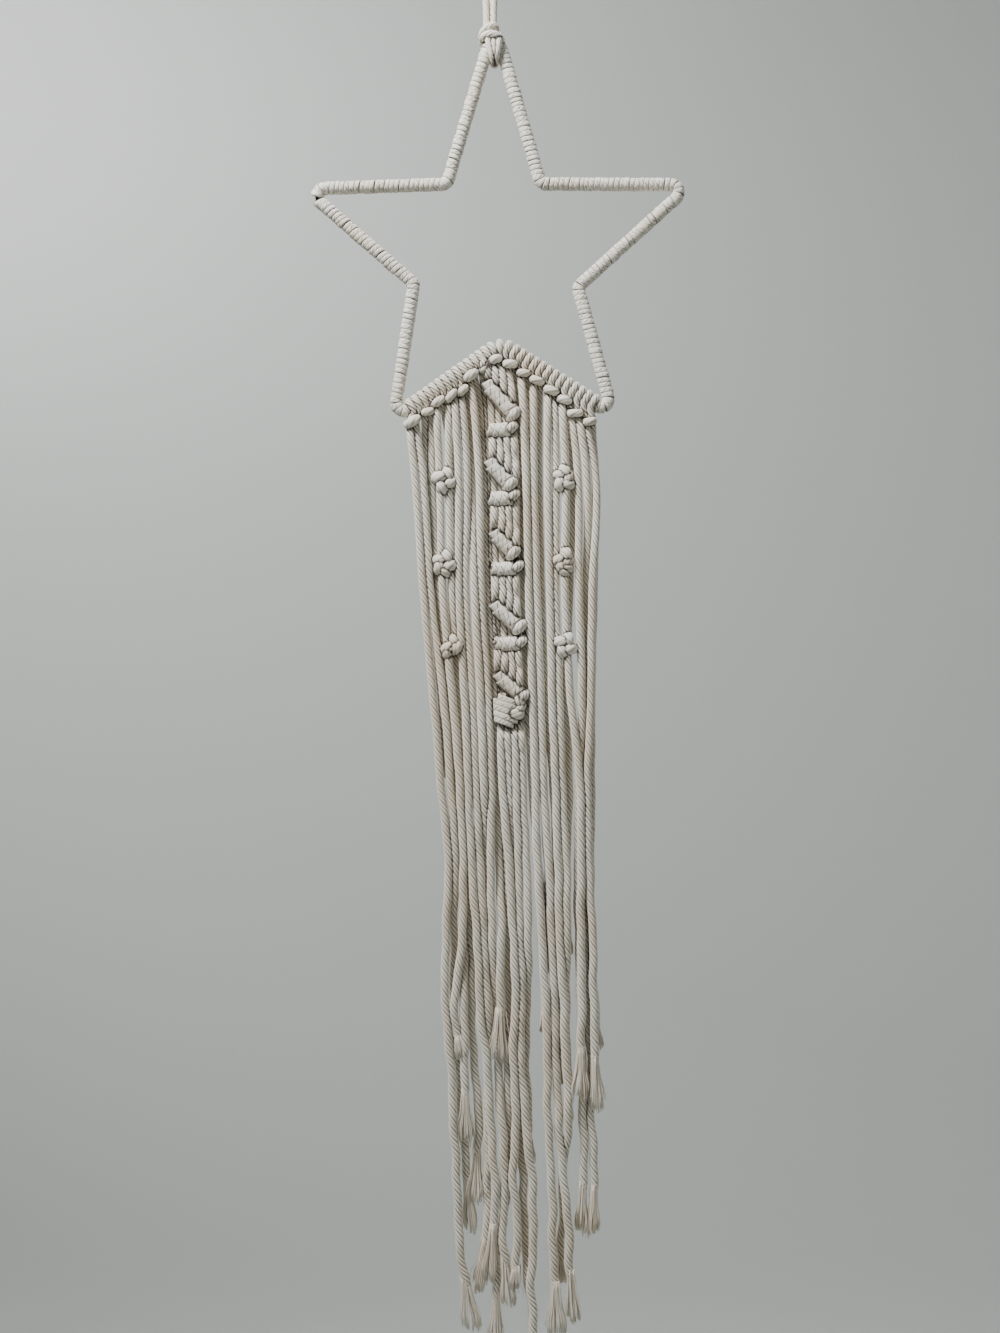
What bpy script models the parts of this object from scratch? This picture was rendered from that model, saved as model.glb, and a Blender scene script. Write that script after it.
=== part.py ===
"""Macrame wall hanging on a star-shaped hoop, in metres with +Z up and its front towards -Y.

The origin is the point where a nail carries the hanging loop. Everything hangs below it.
A wire star is wound with cord on eight of its ten sides. Fifteen folded cords are knotted
onto the two lower sides, and their thirty strands hang down through bars and small knots.
All tables are in millimetres and are turned to metres where the meshes are made.
"""

import bisect
import math
import random
from collections import namedtuple

import bmesh
import bpy
from mathutils import Matrix, Vector

MM = 0.001

# Driving dimensions, in millimetres
CORD = 4.0                # thickness of the cotton cord
WIRE = 3.0                # thickness of the hoop's wire
BINDING = 7.0             # over the winding, wire included
BINDING_GROOVE = 0.45     # how deep the groove between two turns is
BINDING_PITCH = 3.6       # from one turn to the next
BINDING_END = 6.0         # over the winding's first and last turn
BINDING_START = 0.2       # how far before its corner the winding starts
HEADING = 11.0            # over the mounting knots, wire included
HEADING_GROOVE = 1.0
HEADING_END = 8.8         # over the heading's first and last turn
HEADING_SPLIT = 1.5       # how far past the inner bend the left knots reach
LEFT_KNOTS = 8
RIGHT_KNOTS = 7
GAP = 0.3                 # between two pieces
BORE = WIRE + 2 * GAP + 0.1
BEND_STEP = math.radians(20)
STRAND_HALF = 2.0         # half a strand, corner to corner
STRAND_STEP = 28.0        # between the rings along a strand
STRAND_ASIDE = 1.9        # from a mounting knot's middle to each of its two strands
STRAND_BELOW = 4.6        # from the wire down to where a strand leaves its knot
STRAND_LEAD = 9.0         # the strand's first stretch, on which it comes to its layer
BRUSH_LENGTH = 24.0       # frayed end
BRUSH_TIP = 9.0           # last stretch of a frayed end, which is as wide as it gets
FOLD_FORWARD = 3.8        # from the wire's middle to the middle of a knot's fold
UNEVEN = 0.12             # how much one turn is fuller than the next
FRONT = Vector((0, -1, 0))
UP = Vector((0, 0, 1))
RIGHT = Vector((1, 0, 0))
COTTON = (0.62, 0.58, 0.52)  # natural off-white, as linear red, green and blue

# The star's corners if the wire weren't rounded there, and the radius of each bend
Corner = namedtuple("Corner", "name x z bend")
CORNERS = (
    Corner("inner_bottom", 5.7, -213.6, 9.0),
    Corner("tip_lower_right", 66.9, -252.1, 4.4),
    Corner("inner_lower_right", 47.5, -182.0, 4.4),
    Corner("tip_right", 108.6, -126.8, 4.4),
    Corner("inner_upper_right", 27.5, -126.4, 4.4),
    Corner("tip_top", 2.5, -40.2, 4.4),
    Corner("inner_upper_left", -23.2, -126.6, 4.4),
    Corner("tip_left", -99.9, -129.1, 4.4),
    Corner("inner_lower_left", -41.0, -180.4, 4.4),
    Corner("tip_lower_left", -52.0, -254.0, 4.4),
)

# How far in front of or behind the wire a strand hangs, by the letter of its layer
LAYERS = {"F": -3.0, "f": -1.9, "r": 2.4, "R": 3.4}

# Heights below the nail at which the strands' places are given
LEVELS = (273, 351, 405, 454, 491, 540, 567, 599, 632, 664, 697, 724)

# One row for each strand: its mounting knot, the side of the knot, its layer at each level
# (the last letter goes on to the tip), its x at each level, and its tip's x, height below
# the nail and half width. A tip wider than the strand is a frayed brush.
Strand = namedtuple("Strand", "knot side layers xs tip_x tip_drop tip_half")
STRANDS = (
    Strand(1, "left", "F", (-41.5, -35.5, -30.5, -26, -22.5, -24, -24, -21.4, -19.5, -18, -16, -13),
           -9.5, 743, 5.0),
    Strand(1, "right", "fffffR", (-37.5, -31.5, -25, -21, -19.2, -20.5, -20, -18.5, -17.2, -14.5),
           -10.5, 692, 2.0),
    Strand(2, "left", "R", (-35.5, -31.5, -27), -24.5, 446, 2.0),
    Strand(2, "right", "r", (-31.5, -27.5, -23, -19, -15.5, -14, -14, -13.3, -12), -11, 643, 3.4),
    Strand(3, "left", "F", (-27.5, -25, -20, -16, -14.5, -15.5, -19.1), -16, 598, 2.0),
    Strand(3, "right", "R", (-25.5, -22.5), -20.5, 376, 2.0),
    Strand(4, "left", "ffR", (-22.5, -20, -17.5, -14, -12, -10.5, -10, -9, -5, -7.6), -8, 677, 2.8),
    Strand(4, "right", "F", (-17.5, -16.5, -13.5, -11.5, -10, -6.5, -5.5, -2, 0.5, 2.5, 2.5),
           1, 715, 4.4),
    Strand(5, "left", "fffffffrrrr", (-12.5, -12.9, -9.4, -7.4, -5.6, -3, -1.5, -1, -1.5, -1, -2.5),
           -5.5, 724, 2.4),
    Strand(5, "right", "rFFFRR", (-10.4, -8, -5.2, -3.4, -2.4, -1.4), -0.8, 562, 2.0),
    Strand(6, "left", "ffffffrrffff", (-6.5, -4.5, -0.5, 1, 0.5, 1.5, 3, 4.5, 6, 8, 7, 7.5),
           10.5, 732, 4.6),
    Strand(6, "right", "rrrrrFF", (-4, -1.5, 2.5, 3.5, 5, 6, 5.5), 6, 599, 3.6),
    Strand(7, "left", "R", (0.5, 2, 7, 8, 8.5, 9.5, 9.5, 9, 8, 6.5, 4, 2), 2, 755, 2.0),
    Strand(7, "right", "F", (1.5, 3, 5, 7, 10, 13, 13.8, 12.5, 14, 12.5, 15), 13, 722, 2.0),
    Strand(8, "left", "ffffr", (5.5, 7, 8.5, 10.8, 13, 15, 16, 15, 16, 17.5, 19, 21), 25, 764, 2.0),
    Strand(8, "right", "FFFFffffF", (9.5, 11, 12.5, 14.2, 15.3, 16.4, 17.2, 16.5, 19.5, 22.5, 23.5, 22),
           26, 768, 2.0),
    Strand(9, "left", "ffffffR", (14, 15, 16.5, 17.8, 19.6, 20.7, 20, 19.5, 20.5), 21, 656, 2.0),
    Strand(9, "right", "r", (16, 19, 22, 24.5, 26, 28.5, 29.5), 30, 586, 2.0),
    Strand(10, "left", "F", (19, 21, 23, 24.5, 25.5, 28.5, 30, 31, 31, 33.5, 33.5, 35.5),
           36, 746, 4.6),
    Strand(10, "right", "R", (21, 24, 26, 29, 31, 32.5), 33, 553, 2.0),
    Strand(11, "left", "f", (23.5, 25.5, 27.5, 29, 31.5, 33.5, 34.5, 35.5, 37, 40, 42.5, 41.5),
           45, 740, 3.6),
    Strand(11, "right", "r", (26.5, 28, 30, 34.5, 36, 36, 36.5, 38), 38, 613, 2.0),
    Strand(12, "left", "FFFFFFFFFR", (31, 32.5, 33.5, 35.5, 36.5, 38, 39.5, 41, 42, 39.5, 38.5),
           38, 721, 2.0),
    Strand(12, "right", "ffffffR", (36, 36, 37.5, 39, 41, 41.5, 41, 42), 42.5, 634, 2.0),
    Strand(13, "left", "F", (41, 41, 44, 48.8, 49, 49, 49.5), 48.5, 620, 4.8),
    Strand(13, "right", "R", (44.5, 43, 41, 43, 41.5), 42, 544, 2.0),
    Strand(14, "left", "fffr", (46.5, 48, 49.5, 48, 47.5, 48, 49, 49.5, 50.5, 50.5), 48.5, 694, 3.6),
    Strand(14, "right", "FR", (51, 52, 51.5, 51.5, 51, 52, 53, 54.5, 55, 56.5), 55.5, 696, 3.8),
    Strand(15, "left", "f", (55.3, 55, 54.3, 52.6, 53.5, 55.5, 56, 56.5), 58, 625, 3.6),
    Strand(15, "right", "r", (56.5, 56.2, 55, 55, 54.5, 55.5, 56.8), 58, 594, 2.0),
)

# How far below the wire each mounting knot's fold lies, from left to right
FOLD_DROPS = (9.4, 8.6, 7.2, 8.6, 9.6, 6.0, 7.6, 6.6, 7.6, 7.6, 7.6, 7.4, 8.6, 9.8, 9.8)
FOLD_HALF = Vector((4.0, 2.9, 2.9))

# Hitched bars of the middle column, from one end to the other, with their turns
Bar = namedtuple("Bar", "name x0 z0 x1 z1 half_width half_depth turns")
BARS = (
    Bar("slant_1", -2.7, -233.3, 14.4, -252.2, 3.9, 3.9, 4),
    Bar("return_1", -2.2, -260.3, 13.0, -260.3, 3.3, 3.6, 4),
    Bar("slant_2", -1.3, -275.4, 12.4, -290.0, 3.9, 3.9, 4),
    Bar("return_2", -1.3, -296.3, 14.0, -296.3, 4.2, 3.6, 4),
    Bar("slant_3", 1.1, -313.7, 14.0, -326.7, 3.9, 3.9, 4),
    Bar("return_3", 0.0, -334.5, 16.2, -334.5, 3.8, 3.6, 4),
    Bar("slant_4", 1.1, -352.6, 17.3, -366.7, 3.9, 3.9, 4),
    Bar("return_4", 2.4, -374.9, 18.1, -374.9, 3.8, 3.6, 4),
    Bar("slant_5", 3.2, -390.4, 18.9, -403.9, 3.9, 3.9, 4),
    Bar("last_wraps", 10.5, -402.8, 10.5, -419.6, 7.2, 4.2, 4),
)
BAR_DEPTH = -2.0          # the bars' middle lies this far in front of the wire
BAR_SIDES = 6
BAR_GROOVE = 0.8          # size of a bar in the groove between two turns
BAR_END = 0.62            # size of its end

# The six small knots at the sides, by their middles
KNOT_HALF = Vector((5.8, 3.9, 7.0))
KNOT_DEPTH = -2.4         # their middles lie this far in front of the wire
KNOT_WAIST = 0.86         # a knot's width between two lobes, as a share of the whole
KNOT_LOBE = 0.28          # how much more it is at a lobe
KNOT_DIMPLE = 0.55        # its depth at the middle, as a share of the whole
SideKnot = namedtuple("SideKnot", "name x z")
SIDE_KNOTS = (
    SideKnot("left_upper", -23.8, -287.3),
    SideKnot("left_middle", -24.3, -332.6),
    SideKnot("left_lower", -20.5, -376.4),
    SideKnot("right_upper", 39.4, -287.3),
    SideKnot("right_middle", 38.9, -332.1),
    SideKnot("right_lower", 41.0, -375.3),
)

# The hanging loop: its two legs, then the cord that goes round the top of the star
LOOP_TOP = 5.0            # radius of its bend over the nail
RoutePoint = namedtuple("RoutePoint", "x y z")
LOOP_LEG = (
    RoutePoint(5.0, 0.0, -10.0),
    RoutePoint(3.6, 0.0, -22.0),
    RoutePoint(2.2, -0.4, -33.0),
    RoutePoint(2.0, -0.8, -43.0),
)
FRONT_BAND = (
    RoutePoint(-4.0, -3.5, -43.5),
    RoutePoint(-4.8, -6.2, -46.2),
    RoutePoint(-1.5, -7.6, -47.6),
    RoutePoint(2.5, -7.8, -47.9),
    RoutePoint(6.2, -6.6, -47.2),
    RoutePoint(6.4, -3.0, -44.6),
)
StrapPoint = namedtuple("StrapPoint", "x y z half_width")
STRAP = (
    StrapPoint(1.0, -2.0, -43.2, 3.2),
    StrapPoint(1.0, -5.6, -46.5, 3.7),
    StrapPoint(1.4, -5.8, -54.0, 3.5),
    StrapPoint(2.2, -5.2, -59.6, 2.6),
    StrapPoint(2.5, -2.6, -62.0, 1.7),
    StrapPoint(2.5, 2.6, -62.0, 1.7),
    StrapPoint(2.2, 5.2, -59.6, 2.6),
    StrapPoint(1.4, 5.8, -54.0, 3.5),
    StrapPoint(1.0, 5.6, -46.5, 3.7),
    StrapPoint(1.0, 2.0, -43.2, 3.2),
)
STRAP_HALF_DEPTH = 1.6
BAND_HALF = 2.1
LOOP_LOBES = (
    RoutePoint(-1.6, -1.0, -43.6),
    RoutePoint(2.8, -1.6, -42.8),
)
LOOP_LOBE_HALF = Vector((4.8, 4.6, 3.7))

# The small gap in the winding at the left tip, where the wire shows
NOTCH = Vector((2.6, 3.2, 2.2))
NOTCH_OUT = 3.2           # from the wire's middle to the gap's, away from the star
NOTCH_FORWARD = 0.6


def clear_scene():
    for obj in list(bpy.data.objects):
        bpy.data.objects.remove(obj, do_unlink=True)


def material(name, colour, roughness, metallic=0.0):
    made = bpy.data.materials.new(name)
    made.use_nodes = True
    shader = made.node_tree.nodes["Principled BSDF"]
    shader.inputs["Base Color"].default_value = (*colour, 1.0)
    shader.inputs["Roughness"].default_value = roughness
    shader.inputs["Metallic"].default_value = metallic
    made.diffuse_color = (*colour, 1.0)
    return made


class StarPath:
    """The wire's middle line: straight sides, an arc at each corner, measured along its length."""

    def __init__(self, corners):
        self.points = []
        self.headings = []
        self.bends = {}
        spots = [Vector((corner.x, 0, corner.z)) for corner in corners]
        for index, corner in enumerate(corners):
            first = len(self.points)
            self.add_bend(spots[index - 1], spots[index], spots[(index + 1) % len(spots)], corner.bend)
            self.bends[corner.name] = (first, len(self.points) - 1)
        self.marks = [0.0]
        for before, after in zip(self.points, self.points[1:] + self.points[:1]):
            self.marks.append(self.marks[-1] + (after - before).length)
        self.length = self.marks.pop()

    def add_bend(self, before, corner, after, bend):
        back = (before - corner).normalized()
        onward = (after - corner).normalized()
        turn = math.pi - back.angle(onward)
        centre = corner + (back + onward).normalized() * bend / math.cos(turn / 2)
        first = corner + back * bend * math.tan(turn / 2) - centre
        steps = math.ceil(turn / BEND_STEP)
        for step in range(steps + 1):
            angle = turn * step / steps
            self.points.append(centre + first * math.cos(angle) - back * bend * math.sin(angle))
            self.headings.append(-first / bend * math.sin(angle) - back * math.cos(angle))

    def bend_ends(self, name):
        first, last = self.bends[name]
        return self.marks[first], self.marks[last]

    def at(self, distance):
        """Place and heading at a distance along the path, which may run past its end."""
        distance %= self.length
        index = bisect.bisect_right(self.marks, distance) - 1
        following = (index + 1) % len(self.points)
        start = self.marks[index]
        share = (distance - start) / ((self.marks + [self.length])[index + 1] - start)
        place = self.points[index].lerp(self.points[following], share)
        heading = self.headings[index].lerp(self.headings[following], share)
        return place, heading.normalized()

    def marks_between(self, first, last):
        """The corner points' distances between two distances, both of which are included."""
        laps = self.marks + [mark + self.length for mark in self.marks]
        return [first] + [mark for mark in laps if first + GAP < mark < last - GAP] + [last]


def ring_at(path, distance, radius, sides, slant=0.0):
    """A ring round the path. With a slant, its right side leans back along the path."""
    centre, heading = path.at(distance)
    side = heading.cross(FRONT)
    ring = []
    for index in range(sides):
        angle = math.tau * (index + 0.5) / sides
        out = side * math.cos(angle) + FRONT * math.sin(angle)
        ring.append(centre + out * radius - heading * slant * math.cos(angle))
    return ring


def add_wall(mesh, rings, closed=False):
    """Joins rings of points, given in millimetres, by a wall of quads."""
    rows = [[mesh.verts.new(point * MM) for point in ring] for ring in rings]
    following = rows[1:] + rows[:1] if closed else rows[1:]
    for low, high in zip(rows, following):
        for index in range(len(low)):
            after = (index + 1) % len(low)
            mesh.faces.new((low[index], low[after], high[after], high[index]))
    return rows


def join_rows(mesh, inner, outer):
    """A flat end wall between the bore's last row and the outside's."""
    for index in range(len(inner)):
        after = (index + 1) % len(inner)
        mesh.faces.new((inner[index], inner[after], outer[after], outer[index]))


def object_from(mesh, name):
    """Turns a bmesh into an object with its faces outwards."""
    bmesh.ops.recalc_face_normals(mesh, faces=mesh.faces)
    data = bpy.data.meshes.new(name)
    mesh.to_mesh(data)
    mesh.free()
    data.shade_smooth()
    data.set_sharp_from_angle(angle=math.radians(30))
    made = bpy.data.objects.new(name, data)
    bpy.context.scene.collection.objects.link(made)
    return made


def solid_tube(name, rings):
    """A tube through rings, with a flat cap on both ends."""
    mesh = bmesh.new()
    rows = add_wall(mesh, rings)
    mesh.faces.new(rows[0])
    mesh.faces.new(rows[-1])
    return object_from(mesh, name)


def sleeve(name, bore_rings, outer_rings):
    """A tube with a bore through it."""
    mesh = bmesh.new()
    inner = add_wall(mesh, bore_rings)
    outer = add_wall(mesh, outer_rings)
    join_rows(mesh, inner[0], outer[0])
    join_rows(mesh, inner[-1], outer[-1])
    return object_from(mesh, name)


def lobe(name, centre, half, lean=0.0):
    """A rounded lump of cord: half its size each way, turned about Y by lean."""
    mesh = bmesh.new()
    place = Matrix.Translation(centre * MM)
    turned = Matrix.Rotation(lean, 4, "Y")
    sized = Matrix.Diagonal((*(half * MM), 1.0))
    bmesh.ops.create_uvsphere(mesh, u_segments=8, v_segments=4, radius=1.0,
                              matrix=place @ turned @ sized)
    return object_from(mesh, name)


def join(target, pieces):
    """Fuses the pieces into the target, and keeps them as hidden helpers."""
    helpers = bpy.data.collections.new(target.name + "_pieces")
    bpy.context.scene.collection.children.link(helpers)
    for piece in pieces:
        bpy.context.scene.collection.objects.unlink(piece)
        helpers.objects.link(piece)
        piece.hide_render = True
        piece.display_type = "WIRE"
    modifier = target.modifiers.new("join", "BOOLEAN")
    modifier.operation = "UNION"
    modifier.operand_type = "COLLECTION"
    modifier.collection = helpers
    modifier.solver = "EXACT"


def star_hoop(path):
    rings = [ring_at(path, mark, WIRE / 2, 6) for mark in path.marks]
    mesh = bmesh.new()
    add_wall(mesh, rings, closed=True)
    made = object_from(mesh, "star_hoop")
    made.data.materials.append(material("hoop_wire", (0.08, 0.08, 0.085), 0.45, 0.9))
    return made


def turned_rings(path, marks, width, groove, end_width, sides, slant):
    """Rings for a winding: marks alternate between the groove and the middle of a turn."""
    uneven = random.Random(len(marks))
    rings = []
    for index, mark in enumerate(marks):
        at_end = index in (0, len(marks) - 1)
        radius = width / 2 - (0 if index % 2 else groove) + uneven.uniform(-UNEVEN, 0)
        if at_end:
            radius = end_width / 2
        rings.append(ring_at(path, mark, radius, sides, 0 if at_end else slant))
    return rings


def even_marks(first, last, turns):
    return [first + (last - first) * step / (2 * turns) for step in range(2 * turns + 1)]


def binding_range(path):
    """Where the winding starts and ends: it leaves the star's two lower sides to the knots."""
    first = path.bend_ends("tip_lower_right")[0] - BINDING_START
    return first, path.bend_ends("tip_lower_left")[1]


def hoop_binding(path):
    first, last = binding_range(path)
    turns = round((last - first) / BINDING_PITCH)
    bore = [ring_at(path, mark, BORE / 2, 6) for mark in path.marks_between(first, last)]
    outer = turned_rings(path, even_marks(first, last, turns), BINDING, BINDING_GROOVE,
                         BINDING_END, 6, BINDING_PITCH / 4)
    made = sleeve("hoop_binding", bore, outer)
    made.data.materials.append(material("cotton_binding", COTTON, 0.9))
    cut_notch(made, path)
    return made


def cut_notch(binding, path):
    """Cuts the winding's small gap at the left tip."""
    place, heading = path.at(sum(path.bend_ends("tip_left")) / 2)
    outwards = heading.cross(FRONT)
    mesh = bmesh.new()
    bmesh.ops.create_cube(mesh, size=1.0, matrix=Matrix.Diagonal((*(NOTCH * MM), 1.0)))
    notch = object_from(mesh, "notch_cutter")
    middle = place + outwards * NOTCH_OUT + FRONT * NOTCH_FORWARD
    notch.matrix_world = Matrix.Translation(middle * MM)
    notch.hide_render = True
    notch.display_type = "WIRE"
    cut = binding.modifiers.new("notch", "BOOLEAN")
    cut.operation = "DIFFERENCE"
    cut.object = notch
    cut.solver = "EXACT"


def heading_marks(path):
    """Where the heading starts, where its left knots end, and where it ends."""
    start = binding_range(path)[1] + GAP
    split = path.length + sum(path.bend_ends("inner_bottom")) / 2 + HEADING_SPLIT
    end = path.length + binding_range(path)[0] - GAP
    return start, split, end


def knot_marks(path):
    start, split, end = heading_marks(path)
    left = [start + (split - start) * (index + 0.5) / LEFT_KNOTS for index in range(LEFT_KNOTS)]
    right = [split + (end - split) * (index + 0.5) / RIGHT_KNOTS for index in range(RIGHT_KNOTS)]
    return left + right


def heading(path):
    """The mounting knots' turns round the wire, two for each folded cord."""
    start, split, end = heading_marks(path)
    marks = even_marks(start, split, 2 * LEFT_KNOTS)[:-1] + even_marks(split, end, 2 * RIGHT_KNOTS)
    bore = [ring_at(path, mark, BORE / 2, 8) for mark in path.marks_between(start, end)]
    outer = turned_rings(path, marks, HEADING, HEADING_GROOVE, HEADING_END, 8, 0.0)
    return sleeve("macrame", bore, outer)


def knot_folds(path):
    """The fold of each mounting cord, which lies below the bar in front of its strands."""
    made = []
    for index, (mark, drop) in enumerate(zip(knot_marks(path), FOLD_DROPS)):
        place, along = path.at(mark)
        lean = -math.atan2(along.z, along.x)
        middle = place + FRONT * FOLD_FORWARD - UP * drop
        made.append(lobe(f"fold_{index + 1}", middle, FOLD_HALF, lean))
    return made


def eased(keys, at):
    """The value at one height on a smooth curve through keys of (height, value)."""
    heights = [key[0] for key in keys]
    index = min(max(bisect.bisect_right(heights, at) - 1, 0), len(keys) - 2)
    slopes = []
    for place in (index, index + 1):
        before = keys[max(place - 1, 0)]
        after = keys[min(place + 1, len(keys) - 1)]
        slopes.append((after[1] - before[1]) / (after[0] - before[0]))
    span = heights[index + 1] - heights[index]
    share = (at - heights[index]) / span
    start, end = keys[index][1], keys[index + 1][1]
    return (start * (1 + 2 * share) * (1 - share) ** 2 + end * share ** 2 * (3 - 2 * share)
            + slopes[0] * span * share * (1 - share) ** 2
            - slopes[1] * span * share ** 2 * (1 - share))


def strand_route(strand, root):
    """Keys of (height below the nail, (x, y)) from the mounting knot to the tip."""
    layers = strand.layers.ljust(len(LEVELS), strand.layers[-1])
    depths = [LAYERS[letter] for letter in layers]
    led_x = root.x + (strand.xs[0] - root.x) * 0.2
    keys = [(-root.z, Vector((root.x, depths[0] * 0.4)))]
    keys.append((-root.z + STRAND_LEAD, Vector((led_x, depths[0]))))
    for level, x, depth in zip(LEVELS, strand.xs, depths):
        keys.append((level, Vector((x, depth))))
    keys.append((strand.tip_drop, Vector((strand.tip_x, depths[len(strand.xs) - 1]))))
    return keys


def strand_rings(strand, root):
    """Four-cornered rings down the strand, which open into a brush where the tip is frayed."""
    keys = strand_route(strand, root)
    start = keys[0][0]
    led = start + STRAND_LEAD
    brush = strand.tip_drop - BRUSH_LENGTH
    steps = math.ceil((brush - start) / STRAND_STEP)
    drops = [start] + [led + (brush - led) * step / steps for step in range(steps + 1)]
    drops += [strand.tip_drop - BRUSH_TIP, strand.tip_drop]
    rings = []
    for drop in drops:
        x, y = eased(keys, drop)
        opened = min(max((drop - brush) / (BRUSH_LENGTH - BRUSH_TIP), 0), 1)
        wide = STRAND_HALF + (strand.tip_half - STRAND_HALF) * opened
        deep = STRAND_HALF * (1 - 0.2 * opened)
        centre = Vector((x, y, -drop))
        rings.append([centre + RIGHT * wide, centre + FRONT * deep,
                      centre - RIGHT * wide, centre - FRONT * deep])
    return rings


def strands(path):
    marks = knot_marks(path)
    made = []
    for strand in STRANDS:
        aside = -STRAND_ASIDE if strand.side == "left" else STRAND_ASIDE
        place, _ = path.at(marks[strand.knot - 1] + aside)
        root = place - UP * STRAND_BELOW
        made.append(solid_tube(f"strand_{strand.knot}_{strand.side}", strand_rings(strand, root)))
    return made


def hitched_bar(bar):
    """A bar of hitches: an oval tube with a ridge for each turn and rounded ends."""
    start = Vector((bar.x0, BAR_DEPTH, bar.z0))
    end = Vector((bar.x1, BAR_DEPTH, bar.z1))
    along = (end - start).normalized()
    across = along.cross(FRONT)
    angles = [math.tau * index / BAR_SIDES for index in range(BAR_SIDES)]
    rings = []
    for step in range(2 * bar.turns + 1):
        size = 1.0 if step % 2 else BAR_GROOVE
        if step in (0, 2 * bar.turns):
            size = BAR_END
        centre = start.lerp(end, step / (2 * bar.turns))
        wide = across * bar.half_width * size
        deep = FRONT * bar.half_depth * size
        rings.append([centre + wide * math.cos(angle) + deep * math.sin(angle) for angle in angles])
    return solid_tube(bar.name, rings)


def side_knot(knot):
    """A small square knot: four lobes raised from one lump, drawn in at its middle."""
    mesh = bmesh.new()
    bmesh.ops.create_uvsphere(mesh, u_segments=12, v_segments=6, radius=1.0)
    for point in mesh.verts:
        x, z, depth = point.co
        lobed = KNOT_WAIST + KNOT_LOBE * (2 * x * z) ** 2
        drawn_in = min(KNOT_DIMPLE + math.hypot(x, z), 1.0)
        point.co = Vector((x * lobed * KNOT_HALF.x, -depth * drawn_in * KNOT_HALF.y,
                           z * lobed * KNOT_HALF.z)) * MM
    middle = Vector((knot.x, KNOT_DEPTH, knot.z)) * MM
    bmesh.ops.translate(mesh, vec=middle, verts=mesh.verts)
    return object_from(mesh, knot.name)


def macrame(path):
    made = heading(path)
    made.data.materials.append(material("cotton_cord", COTTON, 0.92))
    pieces = knot_folds(path) + strands(path)
    pieces += [hitched_bar(bar) for bar in BARS]
    pieces += [side_knot(knot) for knot in SIDE_KNOTS]
    join(made, pieces)
    return made


def swept_tube(name, places, halves, sides, level):
    """A tube along places. Each ring is half[0] wide along level and half[1] deep across it."""
    rings = []
    for index, place in enumerate(places):
        after = places[min(index + 1, len(places) - 1)]
        before = places[max(index - 1, 0)]
        across = level.cross((after - before).normalized()).normalized()
        wide, deep = halves[index]
        rings.append([
            place + level * wide * math.cos(angle) + across * deep * math.sin(angle)
            for angle in (math.tau * (step + 0.5) / sides for step in range(sides))
        ])
    return solid_tube(name, rings)


def hanging_loop():
    """The doubled cord over the nail, its knot, and the cord round the top of the star."""
    half = CORD / 2
    right_leg = [Vector(point) for point in reversed(LOOP_LEG)]
    left_leg = [Vector((-point.x, point.y, point.z)) for point in LOOP_LEG]
    bend = [Vector((LOOP_TOP * math.cos(angle), 0, LOOP_TOP * math.sin(angle) - LOOP_TOP + half))
            for angle in (math.pi * step / 8 for step in range(9))]
    route = right_leg + bend + left_leg
    made = swept_tube("hanging_loop", route, [(half, half)] * len(route), 6, FRONT)
    made.data.materials.append(material("cotton_loop", COTTON, 0.92))

    band_route = [Vector(point) for point in FRONT_BAND]
    band = swept_tube("front_band", band_route, [(BAND_HALF, BAND_HALF)] * len(band_route), 6, UP)
    strap_route = [Vector(point[:3]) for point in STRAP]
    strap_sizes = [(point.half_width, STRAP_HALF_DEPTH) for point in STRAP]
    strap = swept_tube("strap", strap_route, strap_sizes, 6, RIGHT)
    knots = [lobe(f"loop_lobe_{index + 1}", Vector(point), LOOP_LOBE_HALF)
             for index, point in enumerate(LOOP_LOBES)]
    join(made, [band, strap] + knots)
    return made


def main():
    clear_scene()
    path = StarPath(CORNERS)
    star_hoop(path)
    hoop_binding(path)
    macrame(path)
    hanging_loop()


main()
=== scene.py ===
# %% [markdown]
# # A macrame wall hanging on a star hoop
#
# The real hanging is a star bent from steel wire and wound with cotton cord. Fifteen cords are folded
# in half and knotted onto its two lower sides, so thirty strands hang down. Hitched bars zigzag down
# the middle, three small knots sit at each side, and the ends are frayed. It hangs from a cord loop.
#
# Nearly every piece is the same thing: a soft cotton cord of three twisted plies. So this lesson makes
# one good cord first, and then lays it along a route for every knot, bar, winding and strand.

import math
import random
from collections import namedtuple

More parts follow.
